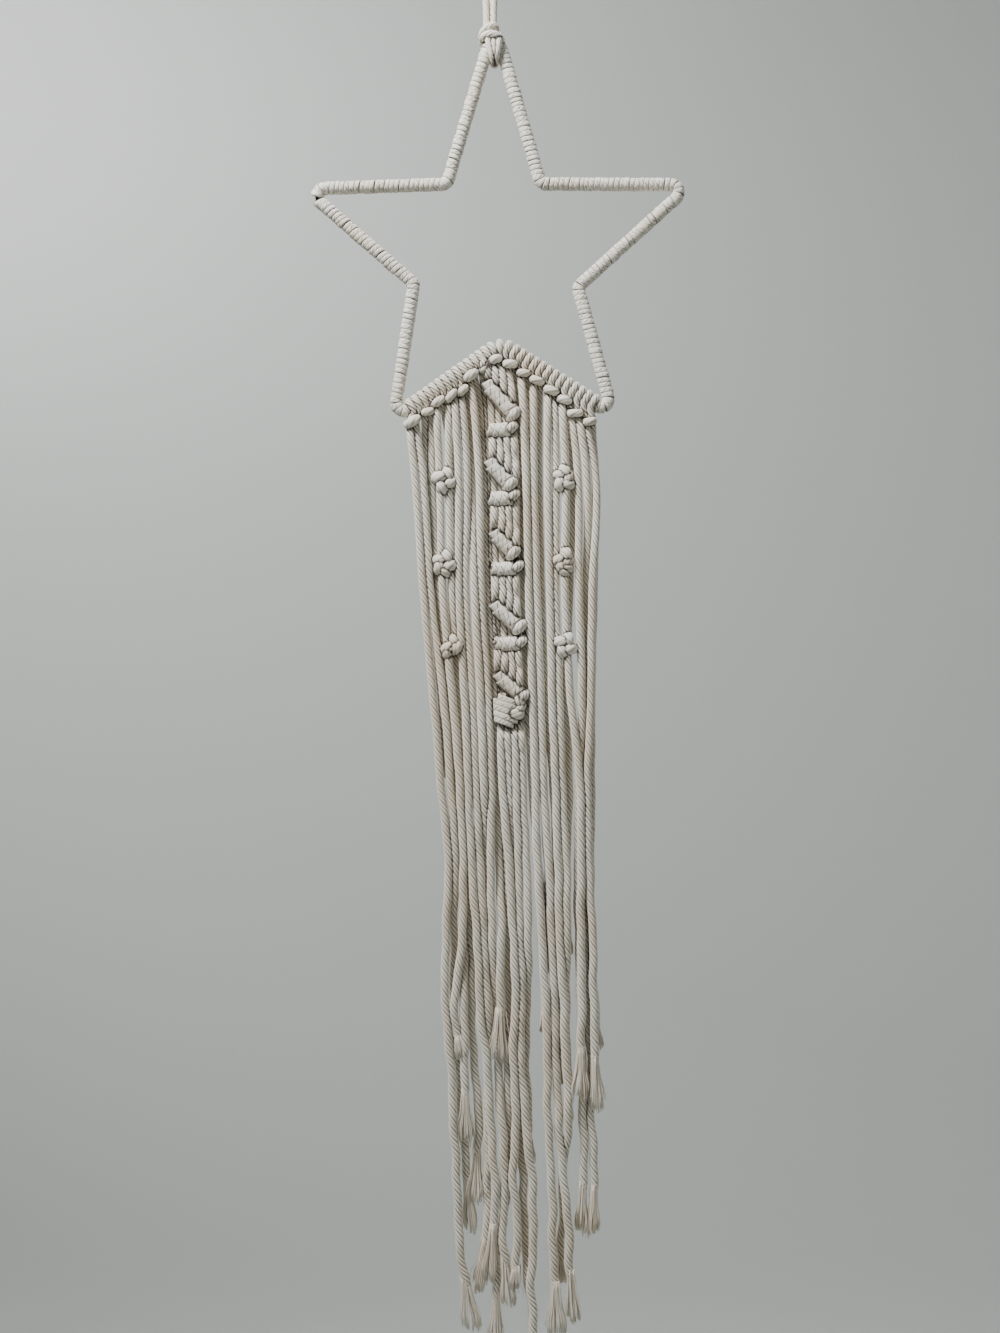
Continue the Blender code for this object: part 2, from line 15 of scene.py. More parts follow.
import bpy
import numpy as np
from mathutils.kdtree import KDTree
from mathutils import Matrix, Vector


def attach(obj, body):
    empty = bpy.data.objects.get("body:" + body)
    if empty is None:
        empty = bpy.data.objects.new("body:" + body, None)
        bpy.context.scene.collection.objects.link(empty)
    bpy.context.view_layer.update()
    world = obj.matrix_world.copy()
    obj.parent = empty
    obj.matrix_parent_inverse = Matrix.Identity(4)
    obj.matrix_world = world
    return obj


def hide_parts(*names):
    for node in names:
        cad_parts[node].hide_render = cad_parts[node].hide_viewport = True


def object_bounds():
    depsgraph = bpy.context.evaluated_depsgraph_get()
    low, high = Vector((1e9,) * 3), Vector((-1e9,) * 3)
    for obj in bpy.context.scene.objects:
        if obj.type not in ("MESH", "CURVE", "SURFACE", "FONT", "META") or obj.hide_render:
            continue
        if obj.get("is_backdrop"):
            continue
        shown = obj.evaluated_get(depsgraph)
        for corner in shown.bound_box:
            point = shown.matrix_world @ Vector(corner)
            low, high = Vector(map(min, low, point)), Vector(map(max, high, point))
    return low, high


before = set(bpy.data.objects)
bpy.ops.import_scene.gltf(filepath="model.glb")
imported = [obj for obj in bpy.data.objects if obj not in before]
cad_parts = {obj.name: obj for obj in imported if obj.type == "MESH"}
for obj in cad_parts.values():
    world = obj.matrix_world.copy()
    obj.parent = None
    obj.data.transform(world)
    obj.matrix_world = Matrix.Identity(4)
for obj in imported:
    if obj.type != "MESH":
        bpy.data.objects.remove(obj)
cad_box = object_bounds()
print("nodes:", sorted(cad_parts))

# %% [markdown]
# ## Units, directions and the photograph's frame
#
# Routes are written in millimetres, as a maker would measure them, and turned to metres where a mesh
# is made. The nail that carries the loop is the origin, X runs to the right, Z runs up and the front
# faces -Y. The photograph shows 0.54 mm of the hanging in each pixel and was taken straight on.

# %% Units and directions
MM = 0.001
FRONT = np.array((0.0, -1.0, 0.0))
UP = np.array((0.0, 0.0, 1.0))
RIGHT = np.array((1.0, 0.0, 0.0))


def unit(vectors):
    """A vector, or each row of many, at length 1."""
    return vectors / np.linalg.norm(vectors, axis=-1, keepdims=True)


# %% [markdown]
# ## Camera, light and floor
#
# The camera stands straight in front, at the height of the photograph's middle. A soft key light comes
# from above, the front and the left, and it is aimed at the star, so the tips get less. Weaker lights
# stand at the right and behind. The floor is a round pale cove, a disc whose rim bends up all round,
# far enough away to show no edge from any side, and two more lights face it.

# %% Camera
PIXEL = 0.54 * MM
IMAGE_HEIGHT = 1333
CAMERA_DISTANCE = 0.80
VIEW_MIDDLE = (5.4 * MM, -386.9 * MM)

bpy.ops.object.camera_add(location=(VIEW_MIDDLE[0], -CAMERA_DISTANCE, VIEW_MIDDLE[1]),
                          rotation=(math.pi / 2, 0, 0))
camera = bpy.context.object
camera.data.sensor_fit = "VERTICAL"
camera.data.angle_y = 2 * math.atan(IMAGE_HEIGHT * PIXEL / 2 / CAMERA_DISTANCE)
camera.data.clip_end = 20
bpy.context.scene.camera = camera
print("camera's height of view:", round(math.degrees(camera.data.angle_y), 1), "degrees")

# %% Colours and nodes
MIX_LOW, MIX_HIGH, MIX_RESULT = 6, 7, 2  # the colour sockets of a Mix node


def linear(hex_colour):
    """Turns an sRGB hex colour into the linear values that a shader takes."""
    channels = [int(hex_colour[start:start + 2], 16) / 255 for start in (1, 3, 5)]
    return *(c / 12.92 if c <= 0.04045 else ((c + 0.055) / 1.055) ** 2.4 for c in channels), 1.0


def new_material(name, **sockets):
    """A material with its node tree and its shader, whose sockets are set by name."""
    made = bpy.data.materials.new(name)
    made.use_nodes = True
    shader = made.node_tree.nodes["Principled BSDF"]
    for socket, value in sockets.items():
        shader.inputs[socket.replace("_", " ")].default_value = value
    return made, made.node_tree, shader


def add_node(tree, kind, links=(), **settings):
    """Adds a node, sets its properties and sockets by name, and links its sockets."""
    node = tree.nodes.new(kind)
    for name, value in settings.items():
        if hasattr(node, name):
            setattr(node, name, value)
        else:
            node.inputs[name.replace("_", " ")].default_value = value
    for socket, source in links:
        tree.links.new(source, node.inputs[socket])
    return node


def noise_in_place(tree, **settings):
    """Noise that depends on the place on the object."""
    place = add_node(tree, "ShaderNodeTexCoord").outputs["Object"]
    return add_node(tree, "ShaderNodeTexNoise", [("Vector", place)], **settings).outputs["Fac"]


def ranged(tree, value, **settings):
    return add_node(tree, "ShaderNodeMapRange", [("Value", value)], **settings).outputs["Result"]


def computed(tree, operation, first, second):
    node = add_node(tree, "ShaderNodeMath", [(0, first), (1, second)], operation=operation)
    return node.outputs["Value"]


def mixed(tree, factor, low_hex, high):
    """A colour between two, the second of which is a hex colour or comes from a node."""
    mix = add_node(tree, "ShaderNodeMix", [("Factor", factor)], data_type="RGBA")
    mix.inputs[MIX_LOW].default_value = linear(low_hex)
    if isinstance(high, str):
        mix.inputs[MIX_HIGH].default_value = linear(high)
    else:
        tree.links.new(high, mix.inputs[MIX_HIGH])
    return mix.outputs[MIX_RESULT]


def add_bump(tree, shader, height, strength, distance):
    bump = add_node(tree, "ShaderNodeBump", [("Height", height)], Strength=strength, Distance=distance)
    tree.links.new(bump.outputs["Normal"], shader.inputs["Normal"])


# %% Light
def soft_light(name, location, aim, size, power, spread=180):
    """A square area light that faces a point and isn't seen. Its spread is in degrees."""
    bpy.ops.object.light_add(type="AREA", location=location)
    light = bpy.context.object
    light.name = name
    away = unit(np.array(location) - np.array(aim))
    light.rotation_euler = (math.acos(away[2]), 0, math.atan2(away[1], away[0]) + math.pi / 2)
    light.data.size = size
    light.data.energy = power
    light.data.spread = math.radians(spread)
    light.visible_camera = False


STAR_MIDDLE = (0.0, 0.0, -0.2)
COVE_UPPER_LEFT = (-0.7, 2.4, 0.8)
COVE_NEAR_SIDE = (0.3, -2.4, 0.2)
soft_light("key_light", (-0.42, -0.42, 0.46), STAR_MIDDLE, 0.3, 9.9, spread=125)
soft_light("fill_light", (1.5, -1.4, 0.2), STAR_MIDDLE, 1.0, 1.2)
soft_light("back_light", (0.5, 0.7, 0.4), STAR_MIDDLE, 0.5, 7)
soft_light("cove_light", (-1.0, 0.8, 0.9), COVE_UPPER_LEFT, 0.9, 24, spread=140)
soft_light("near_cove_light", (0.6, -0.9, 0.7), COVE_NEAR_SIDE, 0.9, 5.0, spread=140)

world = bpy.data.worlds.new("soft_room")
bpy.context.scene.world = world
world.use_nodes = True
background = world.node_tree.nodes["Background"]
background.inputs["Color"].default_value = linear("#E6E6E3")
background.inputs["Strength"].default_value = 0.13

# %% Floor
COVE_RADIUS = 2.6
COVE_BEND = 1.3
COVE_TOP = 1.6
FLOOR_HEIGHT = -1.25
BEND_POINTS = 13
ROUND_STEPS = 96
ROLLER_GRAIN = 2.5 * MM


def painted(name, hex_colour):
    """Matt paint: pale, rough and even, with a trace of roller texture."""
    made, tree, shader = new_material(name, Base_Color=linear(hex_colour), Roughness=0.9)
    add_bump(tree, shader, noise_in_place(tree, Scale=1 / ROLLER_GRAIN), 0.05, 1 * MM)
    return made


def shown(name, data):
    """An object at the origin, selected and active."""
    made = bpy.data.objects.new(name, data)
    bpy.context.collection.objects.link(made)
    bpy.ops.object.select_all(action="DESELECT")
    bpy.context.view_layer.objects.active = made
    made.select_set(True)
    return made


def round_cove():
    """Half the cove's section, from its middle to its rim, turned once round."""
    bend = [(COVE_RADIUS - COVE_BEND + COVE_BEND * math.sin(angle), 0,
             FLOOR_HEIGHT + COVE_BEND * (1 - math.cos(angle)))
            for angle in np.linspace(0, math.pi / 2, BEND_POINTS)]
    section = [(0, 0, FLOOR_HEIGHT)] + bend + [(COVE_RADIUS, 0, COVE_TOP)]
    mesh = bpy.data.meshes.new("cove")
    mesh.from_pydata(section, [(i, i + 1) for i in range(len(section) - 1)], [])
    floor = shown("cove", mesh)
    screw = floor.modifiers.new("turned", "SCREW")
    screw.steps = screw.render_steps = ROUND_STEPS
    screw.use_merge_vertices = True
    bpy.ops.object.modifier_apply(modifier="turned")
    bpy.ops.object.shade_smooth()
    floor.data.materials.append(painted("matt_paint", "#DBDFDC"))
    floor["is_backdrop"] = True
    return floor


cove = round_cove()
print("cove:", len(cove.data.polygons), "faces")

# %% [markdown]
# ## The cotton's finish
#
# Natural cotton cord is unbleached, so it is a warm off-white with slightly yellower patches. It is
# matt, with a soft halo of fine fibres that lifts its edges, which is what the sheen is for. Light is
# lost in the grooves between the plies, and that shade is painted into the colour, so they are darker
# and browner. Each ply is a bundle of fine yarns, which shows as streaks. They use the cord's own UV
# map, so they run along it, and the patches use the object's place. Cord that is pressed flat shows
# its plies as slanting lines, which get painted shade too.

# %% Cotton
FIBRE_LENGTH = 2.5  # of a streak, in mm
FIBRES_ROUND = 26  # streaks that a section of the cord crosses
PLY_LINE = 2.1  # from one ply line to the next along a pressed cord, in mm
PLY_LINES_ROUND = 6  # ply lines that a section of the cord crosses
PATCH = 45 * MM  # from one patch to the next


def ply_lines(tree, along):
    """0 to 1, least on the slanting lines between the plies of a cord that was pressed flat, which are
    bumped and get painted shade.
    """
    turned = add_node(tree, "ShaderNodeVectorMath", [(0, along)], operation="DOT_PRODUCT")
    turned.inputs[1].default_value = (1 / PLY_LINE, PLY_LINES_ROUND, 0)
    uneven = add_node(tree, "ShaderNodeTexNoise", [("Vector", along)], Scale=0.6, Detail=1.0)
    uneven = uneven.outputs["Fac"]
    shifted = computed(tree, "ADD", turned.outputs["Value"], uneven)
    folded = add_node(tree, "ShaderNodeMath", [(0, shifted)], operation="PINGPONG")
    folded.inputs[1].default_value = 0.5
    lines = ranged(tree, folded.outputs["Value"], From_Min=0.02, From_Max=0.16)
    depth = ranged(tree, uneven, From_Min=0.32, From_Max=0.62, To_Min=1.0, To_Max=0.15)
    return computed(tree, "MAXIMUM", lines, depth)


def cotton(name, crest_hex, warm_hex, groove_shade_hex, fuzz, pressed=False):
    """Cotton in three colours: crests, warm patches, and painted shade in grooves and seams."""
    made, tree, shader = new_material(name, Roughness=0.92, IOR=1.45, Specular_IOR_Level=0.25,
                                      Sheen_Weight=fuzz, Sheen_Roughness=0.6)
    patches = ranged(tree, noise_in_place(tree, Scale=1 / PATCH, Detail=3.0),
                     From_Min=0.38, From_Max=0.66)
    ground = mixed(tree, patches, crest_hex, warm_hex)

    along = add_node(tree, "ShaderNodeUVMap", uv_map="UVMap").outputs["UV"]
    stretched = add_node(tree, "ShaderNodeMapping", [("Vector", along)])
    stretched.inputs["Scale"].default_value = (1 / FIBRE_LENGTH, FIBRES_ROUND, 1)
    streaks = add_node(tree, "ShaderNodeTexNoise", [("Vector", stretched.outputs["Vector"])],
                       Scale=1.0, Detail=2.0, Roughness=0.6).outputs["Fac"]

    crest = add_node(tree, "ShaderNodeAttribute", attribute_name="crest").outputs["Fac"]
    height = streaks
    if pressed:
        lines = ply_lines(tree, along)
        # painted shade in the ply lines
        crest = computed(tree, "MULTIPLY", crest, lines)
        height = computed(tree, "ADD", height, lines)
    # painted shade: darker and browner where the crest value is low, in grooves and seams
    deep = mixed(tree, ranged(tree, crest, From_Min=0.2, From_Max=0.8), groove_shade_hex, ground)
    shade = ranged(tree, streaks, From_Min=0.3, From_Max=0.7, To_Min=0.90, To_Max=1.04)
    coloured = add_node(tree, "ShaderNodeVectorMath", [(0, deep), ("Scale", shade)],
                        operation="SCALE")
    tree.links.new(coloured.outputs["Vector"], shader.inputs["Base Color"])
    add_bump(tree, shader, height, 0.5, 0.15 * MM)
    return made


# the third colour of each cotton is its painted shade for grooves and seams
cord_cotton = cotton("twisted_natural_cotton", "#ECE5D8", "#E2D5C1", "#3C3228", 0.25)
wound_cotton = cotton("tightly_wound_cotton", "#F0EBE0", "#E8DDCC", "#4C4236", 0.25, pressed=True)
fray_cotton = cotton("combed_natural_cotton", "#F5ECDC", "#EADCC6", "#8F806A", 0.3)

# %% [markdown]
# ## One good cord
#
# The notched edge of a twisted cord is what makes it read as cord, and a bump can't give that. So each
# cord has a real section of three round plies with sharp grooves between them, which turns as it goes
# along the route, with the same hand everywhere.
#
# A route is a few given points. A smooth curve goes through them, and its points are then
# spaced evenly, because the twist needs a ring every 1.2 mm. In a tight winding the cord flattens
# against what it is wound on, so there it gets a plain flat section.

# %% A smooth route
STEP = 1.2
FINE_POINTS = 3  # on the curve for each step, before they are spaced evenly


def smooth_route(keys, step=STEP):
    """Evenly spaced points on a smooth curve through the keys, all in millimetres."""
    keys = np.array(keys, float)
    marks = travelled_along(keys)
    slopes = np.gradient(keys, marks, axis=0)
    fine = np.linspace(0, marks[-1], int(marks[-1] / step * FINE_POINTS) + 2)
    index = np.clip(np.searchsorted(marks, fine, side="right") - 1, 0, len(keys) - 2)
    span = (marks[index + 1] - marks[index])[:, None]
    share = (fine - marks[index])[:, None] / span
    points = (keys[index] * (1 + 2 * share) * (1 - share) ** 2
              + keys[index + 1] * share ** 2 * (3 - 2 * share)
              + slopes[index] * span * share * (1 - share) ** 2
              - slopes[index + 1] * span * share ** 2 * (1 - share))
    return evenly_spaced(points, step)


def travelled_along(points):
    return np.concatenate(([0.0], np.cumsum(np.linalg.norm(np.diff(points, axis=0), axis=1))))


def places_at(distances, marks, points):
    """Places at distances along a line of points, where the marks are the points' own distances."""
    return np.stack([np.interp(distances, marks, points[:, axis]) for axis in range(3)], axis=-1)


def evenly_spaced(points, step):
    marks = travelled_along(points)
    return places_at(np.linspace(0, marks[-1], max(2, round(marks[-1] / step) + 1)), marks, points)


# %% The twisted section
CORD_HALF = 2.15  # half the cord's thickness
LAY = 17.0  # length in which a ply goes once round the cord
GROOVE = 0.34  # depth of a groove, as a share of the half thickness
PLIES = 3
PLY_ANGLES = np.radians((0, 14, 46, 60, 74, 106))  # points over one ply, groove first
PLY_FALLS = np.array((1.0, 0.16, 0.0, 0.80, 0.0, 0.16))  # their depths, as shares of a groove's
OFF_ROUTES = (0.31, 0.23, 0.92)  # no route starts in this direction
OWN_LENGTH = 11.0  # a cord makes no seam with itself nearer than this along it

SECTION_ANGLES = np.concatenate([PLY_ANGLES + ply * math.tau / PLIES for ply in range(PLIES)])
SECTION_FALL = np.tile(PLY_FALLS, PLIES)
Cord = namedtuple("Cord", "points travelled crests own_length pulled_tight",
                  defaults=(OWN_LENGTH, False))


def carried_sideways(tangents):
    """A direction across the cord at each point, carried along without turning round it."""
    across = unit(np.cross(tangents[0], OFF_ROUTES))
    carried = []
    for tangent in tangents:
        across = unit(across - tangent * np.dot(across, tangent))
        carried.append(across)
    return np.array(carried)


def headings_along(route):
    return unit(np.gradient(route, axis=0))


def section_points(route, across, sideways, high, wide):
    """Rings of points round a route, each so high and so wide of it."""
    return route[:, None] + across[:, None] * high[..., None] + sideways[:, None] * wide[..., None]


def swept(route, high, wide):
    """Such rings, measured from sides that are carried along the route."""
    tangents = headings_along(route)
    across = carried_sideways(tangents)
    return section_points(route, across, np.cross(tangents, across), high, wide)


def twisted_cord(route, half, groove, turn=0.0):
    """Rings of a three-ply cord along a route."""
    travelled = travelled_along(route)
    angles = SECTION_ANGLES[None] + turn - math.tau * travelled[:, None] / LAY
    falls = np.broadcast_to(groove, len(route))[:, None] * SECTION_FALL[None]
    reach = np.broadcast_to(half, len(route))[:, None] * (1 - falls)
    points = swept(route, reach * np.cos(angles), reach * np.sin(angles))
    # the crest values, 0 in the deepest groove, set how much painted shade each point gets
    return Cord(points, travelled, 1 - falls / GROOVE)


# %% The wound section
BAND_ANGLES = np.radians(np.arange(15, 375, 30))
BAND_SQUARE = 0.5  # 1 is an oval, less is squarer
BAND_EDGE = 0.3  # crest value of the painted shade at a band's edges, where 0 is as dark as a groove
EDGE_FROM = 0.9  # of the way to a band's side, where its edge starts


def wound_band(route, out, per_turn, thickness, overlap, widest, square=BAND_SQUARE):
    """A cord wound so tightly that it is a flat band, each turn as wide as the way to the next."""
    to_next = np.linalg.norm(route[per_turn:] - route[:-per_turn], axis=1)
    ahead = np.concatenate((to_next, to_next[-per_turn:]))
    behind = np.concatenate((to_next[:per_turn], to_next))
    half = np.minimum((ahead + behind) / 4 * overlap, widest)
    high, wide = [np.sign(side) * np.abs(side) ** square
                  for side in (np.cos(BAND_ANGLES), np.sin(BAND_ANGLES))]
    sideways = unit(np.cross(headings_along(route), out))
    points = section_points(route, out, sideways, thickness * high[None], half[:, None] * wide)
    # painted shade at the band's edges, where one turn meets the next
    crests = np.where(np.abs(np.sin(BAND_ANGLES)) > EDGE_FROM, BAND_EDGE, 1.0)
    return Cord(points, travelled_along(route), np.tile(crests, (len(route), 1)), math.inf)


# %% Ramps and sunk ends
def ramp(values, low, high):
    """0 below low, 1 above high and a smooth step between."""
    share = np.clip((values - low) / (high - low), 0, 1)
    return share * share * (3 - 2 * share)


def sunk_end(cord, length):
    """The same cord with painted shade at its last end, as dark as a groove, where it sinks into a
    knot.
    """
    open_share = ramp(cord.travelled[-1] - cord.travelled, 0, length)
    return cord._replace(crests=cord.crests * open_share[:, None])


# %% A piece made of cords
def cord_piece(name, cords, node, material):
    """One mesh of one or more cords, with its UV map in millimetres along each cord."""
    corners, faces, uvs, crests = [], [], [], []
    for cord in cords:
        rings, width = cord.points.shape[:2]
        first = sum(len(chunk) for chunk in corners)
        grid = first + np.arange(rings * width).reshape(rings, width)
        onward = np.roll(grid, -1, axis=1)
        quads = np.stack([grid[:-1], onward[:-1], onward[1:], grid[1:]], axis=-1).reshape(-1, 4)
        faces += quads.tolist() + [grid[0][::-1].tolist(), grid[-1].tolist()]
        low, high = cord.travelled[:-1], cord.travelled[1:]
        left, right = np.arange(width) / width, np.arange(1, width + 1) / width
        across = (rings - 1, width)
        u = [np.broadcast_to(side[:, None], across) for side in (low, low, high, high)]
        v = [np.broadcast_to(side[None], across) for side in (left, right, right, left)]
        uvs.append(np.stack([np.stack(u, -1), np.stack(v, -1)], -1).reshape(-1, 2))
        uvs.append(np.stack([np.full(2 * width, low[0]), np.tile(left, 2)], -1))
        corners.append(cord.points.reshape(-1, 3))
        crests.append(cord.crests.ravel())
    mesh = bpy.data.meshes.new(name)
    mesh.from_pydata((np.concatenate(corners) * MM).tolist(), [], faces)
    uv_map = mesh.uv_layers.new(name="UVMap")
    uv_map.data.foreach_set("uv", np.concatenate(uvs).ravel())
    # the crest values carry the painted shade of grooves and seams to the finish
    crest = mesh.attributes.new("crest", "FLOAT", "POINT")
    crest.data.foreach_set("value", np.concatenate(crests))
    mesh.shade_smooth()
    mesh.materials.append(material)
    piece = shown(name, mesh)
    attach(piece, "root")
    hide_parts(node)
    print(f"{name}: {len(cords)} lengths of cord, {sum(len(f) - 2 for f in faces)} triangles")


def tight(cords):
    """The same cords, marked as pulled tight."""
    return [cord._replace(pulled_tight=True) for cord in cords]


laid = []


def lay(name, cords, node, slot, material=cord_cotton):
    """Keeps a piece's cords until all cords are laid and their seams can be shaded."""
    laid.append((name, cords, node, slot, material))


# %% [markdown]
# ## The star's wire
#
# The hoop is one steel wire with ten straight sides and a small bend at each corner. Its middle line
# is worked out from the ten corners and their bend radii. The winding, the mounting knots and the
# wire itself all need it, so it is kept as a path that gives a place for any distance along the wire.

# %% The wire's path
WIRE_HALF = 1.5
Corner = namedtuple("Corner", "name x z bend")
CORNERS = (
    Corner("inner_bottom", 5.7, -213.6, 9.0),
    Corner("tip_lower_right", 66.9, -252.1, 4.4),
    Corner("inner_lower_right", 47.5, -182.0, 4.4),
    Corner("tip_right", 108.6, -126.8, 4.4),
    Corner("inner_upper_right", 27.5, -126.4, 4.4),
    Corner("tip_top", 2.5, -40.2, 4.4),
    Corner("inner_upper_left", -23.2, -126.6, 4.4),
    Corner("tip_left", -99.9, -129.1, 4.4),
    Corner("inner_lower_left", -41.0, -180.4, 4.4),
    Corner("tip_lower_left", -52.0, -254.0, 4.4),
)
BEND_STEPS = 16
NEARBY = 0.4  # how far to each side along the wire its heading is taken


def bend_points(before, corner, after, bend):
    """The arc that rounds one corner."""
    back = unit(before - corner)
    onward = unit(after - corner)
    turn = math.pi - math.acos(np.dot(back, onward))
    centre = corner + unit(back + onward) * bend / math.cos(turn / 2)
    first = corner + back * bend * math.tan(turn / 2) - centre
    return [centre + first * math.cos(angle) - back * bend * math.sin(angle)
            for angle in np.linspace(0, turn, BEND_STEPS + 1)]


spots = [np.array((corner.x, 0, corner.z)) for corner in CORNERS]
wire_points = []
for index, corner in enumerate(CORNERS):
    after = spots[(index + 1) % len(spots)]
    wire_points += bend_points(spots[index - 1], spots[index], after, corner.bend)
wire_points = np.array(wire_points + wire_points[:1])
wire_marks = travelled_along(wire_points)
WIRE_LENGTH = wire_marks[-1]
bend_starts = np.arange(len(CORNERS)) * (BEND_STEPS + 1)
BEND_ENDS = {corner.name: (wire_marks[start], wire_marks[start + BEND_STEPS])
             for corner, start in zip(CORNERS, bend_starts)}


def on_wire(distances):
    """Places on the wire's middle line, and the wire's headings there."""
    here, before, after = [
        places_at(np.mod(distances + shift, WIRE_LENGTH), wire_marks, wire_points)
        for shift in (0, -NEARBY, NEARBY)]
    return here, unit(after - before)


print("wire:", round(WIRE_LENGTH), "mm long")

# %% [markdown]
# The wire shows only through a small gap in the winding at the left tip. It is dark coated steel, a
# plain round tube on a closed curve, made a mesh once it has its thickness.

# %% Coated steel
SCUFF = 3 * MM


def coated_steel(name):
    """Dark lacquered wire: half gloss, with faint scuffs from bending."""
    made, tree, shader = new_material(name, Coat_Weight=0.3)
    scuffs = noise_in_place(tree, Scale=1 / SCUFF, Detail=4.0)
    tree.links.new(ranged(tree, scuffs, To_Min=0.3, To_Max=0.6), shader.inputs["Roughness"])
    tree.links.new(mixed(tree, scuffs, "#1B1A1B", "#343334"), shader.inputs["Base Color"])
    return made


def star_wire():
    curve = bpy.data.curves.new("star_wire", "CURVE")
    curve.dimensions = "3D"
    curve.bevel_depth = WIRE_HALF * MM
    curve.bevel_resolution = 4
    spline = curve.splines.new("POLY")
    spline.points.add(len(wire_points) - 2)
    spline.use_cyclic_u = True
    for point, place in zip(spline.points, wire_points):
        point.co = (*(place * MM), 1)
    wire = shown("star_wire", curve)
    bpy.ops.object.convert(target="MESH")
    bpy.ops.object.shade_smooth()
    wire.data.materials.append(coated_steel("coated_steel_wire"))
    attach(wire, "root")
    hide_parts("star_hoop")
    return wire


wire = star_wire()
print("wire:", len(wire.data.polygons), "faces")

# %% [markdown]
# ## The winding
#
# Eight sides of the star are wound with cord, turn against turn. Pulled tight, the cord flattens to a
# band about 2.7 mm wide and 2 mm thick. Some turns stand apart and show a dark line, and some ride up
# on the next. So the cord is a helix round the wire's path whose pitch and height change a little
# from turn to turn, with a wider step at the left tip for the gap.

# %% Winding cord
WINDING_PITCH = 2.7
WINDING_THICKNESS = 1.0  # half the flattened cord's thickness
WINDING_WIDEST = 3.1
WINDING_STEPS = 18  # rings in each turn
WINDING_RADIUS = WIRE_HALF + WINDING_THICKNESS
WINDING_START = 0.2  # how far before its corner the winding starts
WINDING_GAP = 4.2  # width of the gap at the left tip
WINDING_UNDER = 2.6  # how far its ends run on under the mounting knots
WINDING_SHIFTS = (-0.4, 0.4)  # of a turn along the wire
WINDING_LIFTS = (-0.2, 0.22)  # of the cord off the wire
WINDING_OVERLAPS = (0.85, 1.2)  # width, as a share of the way to the next
CHANGES = 3  # of lift and overlap in each turn

winding_first = BEND_ENDS["tip_lower_right"][0] - WINDING_START
winding_last = BEND_ENDS["tip_lower_left"][1]


def round_wire(distances, angles, radius):
    """Places round the wire: angle 0 is below it where it runs to the right, 90 degrees in front."""
    places, headings = on_wire(distances)
    out = (np.cross(headings, FRONT) * np.cos(angles)[:, None] + FRONT * np.sin(angles)[:, None])
    return places + out * np.broadcast_to(radius, len(out))[:, None], out


def winding_cord():
    """The whole winding as one cord."""
    uneven = np.random.default_rng(4)
    wound_length = winding_last - winding_first - WINDING_GAP + 2 * WINDING_UNDER
    turns = round(wound_length / WINDING_PITCH)
    marks = winding_first - WINDING_UNDER + np.arange(turns + 1) / turns * wound_length
    marks[1:-1] += uneven.uniform(*WINDING_SHIFTS, turns - 1)
    marks += np.where(marks > sum(BEND_ENDS["tip_left"]) / 2, WINDING_GAP, 0)
    turned = np.arange(turns * WINDING_STEPS + 1) / WINDING_STEPS
    distances = np.interp(turned, np.arange(turns + 1), marks)
    changes = np.arange(turns * CHANGES + 1) / CHANGES
    lifts = np.interp(turned, changes, uneven.uniform(*WINDING_LIFTS, len(changes)))
    overlap = np.interp(turned, changes, uneven.uniform(*WINDING_OVERLAPS, len(changes)))
    route, out = round_wire(distances, turned * math.tau, WINDING_RADIUS + lifts)
    print("winding cord:", round(travelled_along(route)[-1] / 1000, 2), "m in", turns, "turns")
    return wound_band(route, out, WINDING_STEPS, WINDING_THICKNESS, overlap, WINDING_WIDEST)


lay("winding", [winding_cord()], "hoop_binding", "cotton_binding", wound_cotton)

# %% [markdown]
# ## The strands' places
#
# Each of the fifteen mounting cords gives a left and a right strand, and the table has a row for the
# one and then a row for the other. Its letters say whether a strand hangs in front or at the rear at
# twelve heights, and the last letter goes on for the rest. Then come its places from left to right at
# those heights, its tip's place, how far down the tip is, and half the tip's width where it is frayed.

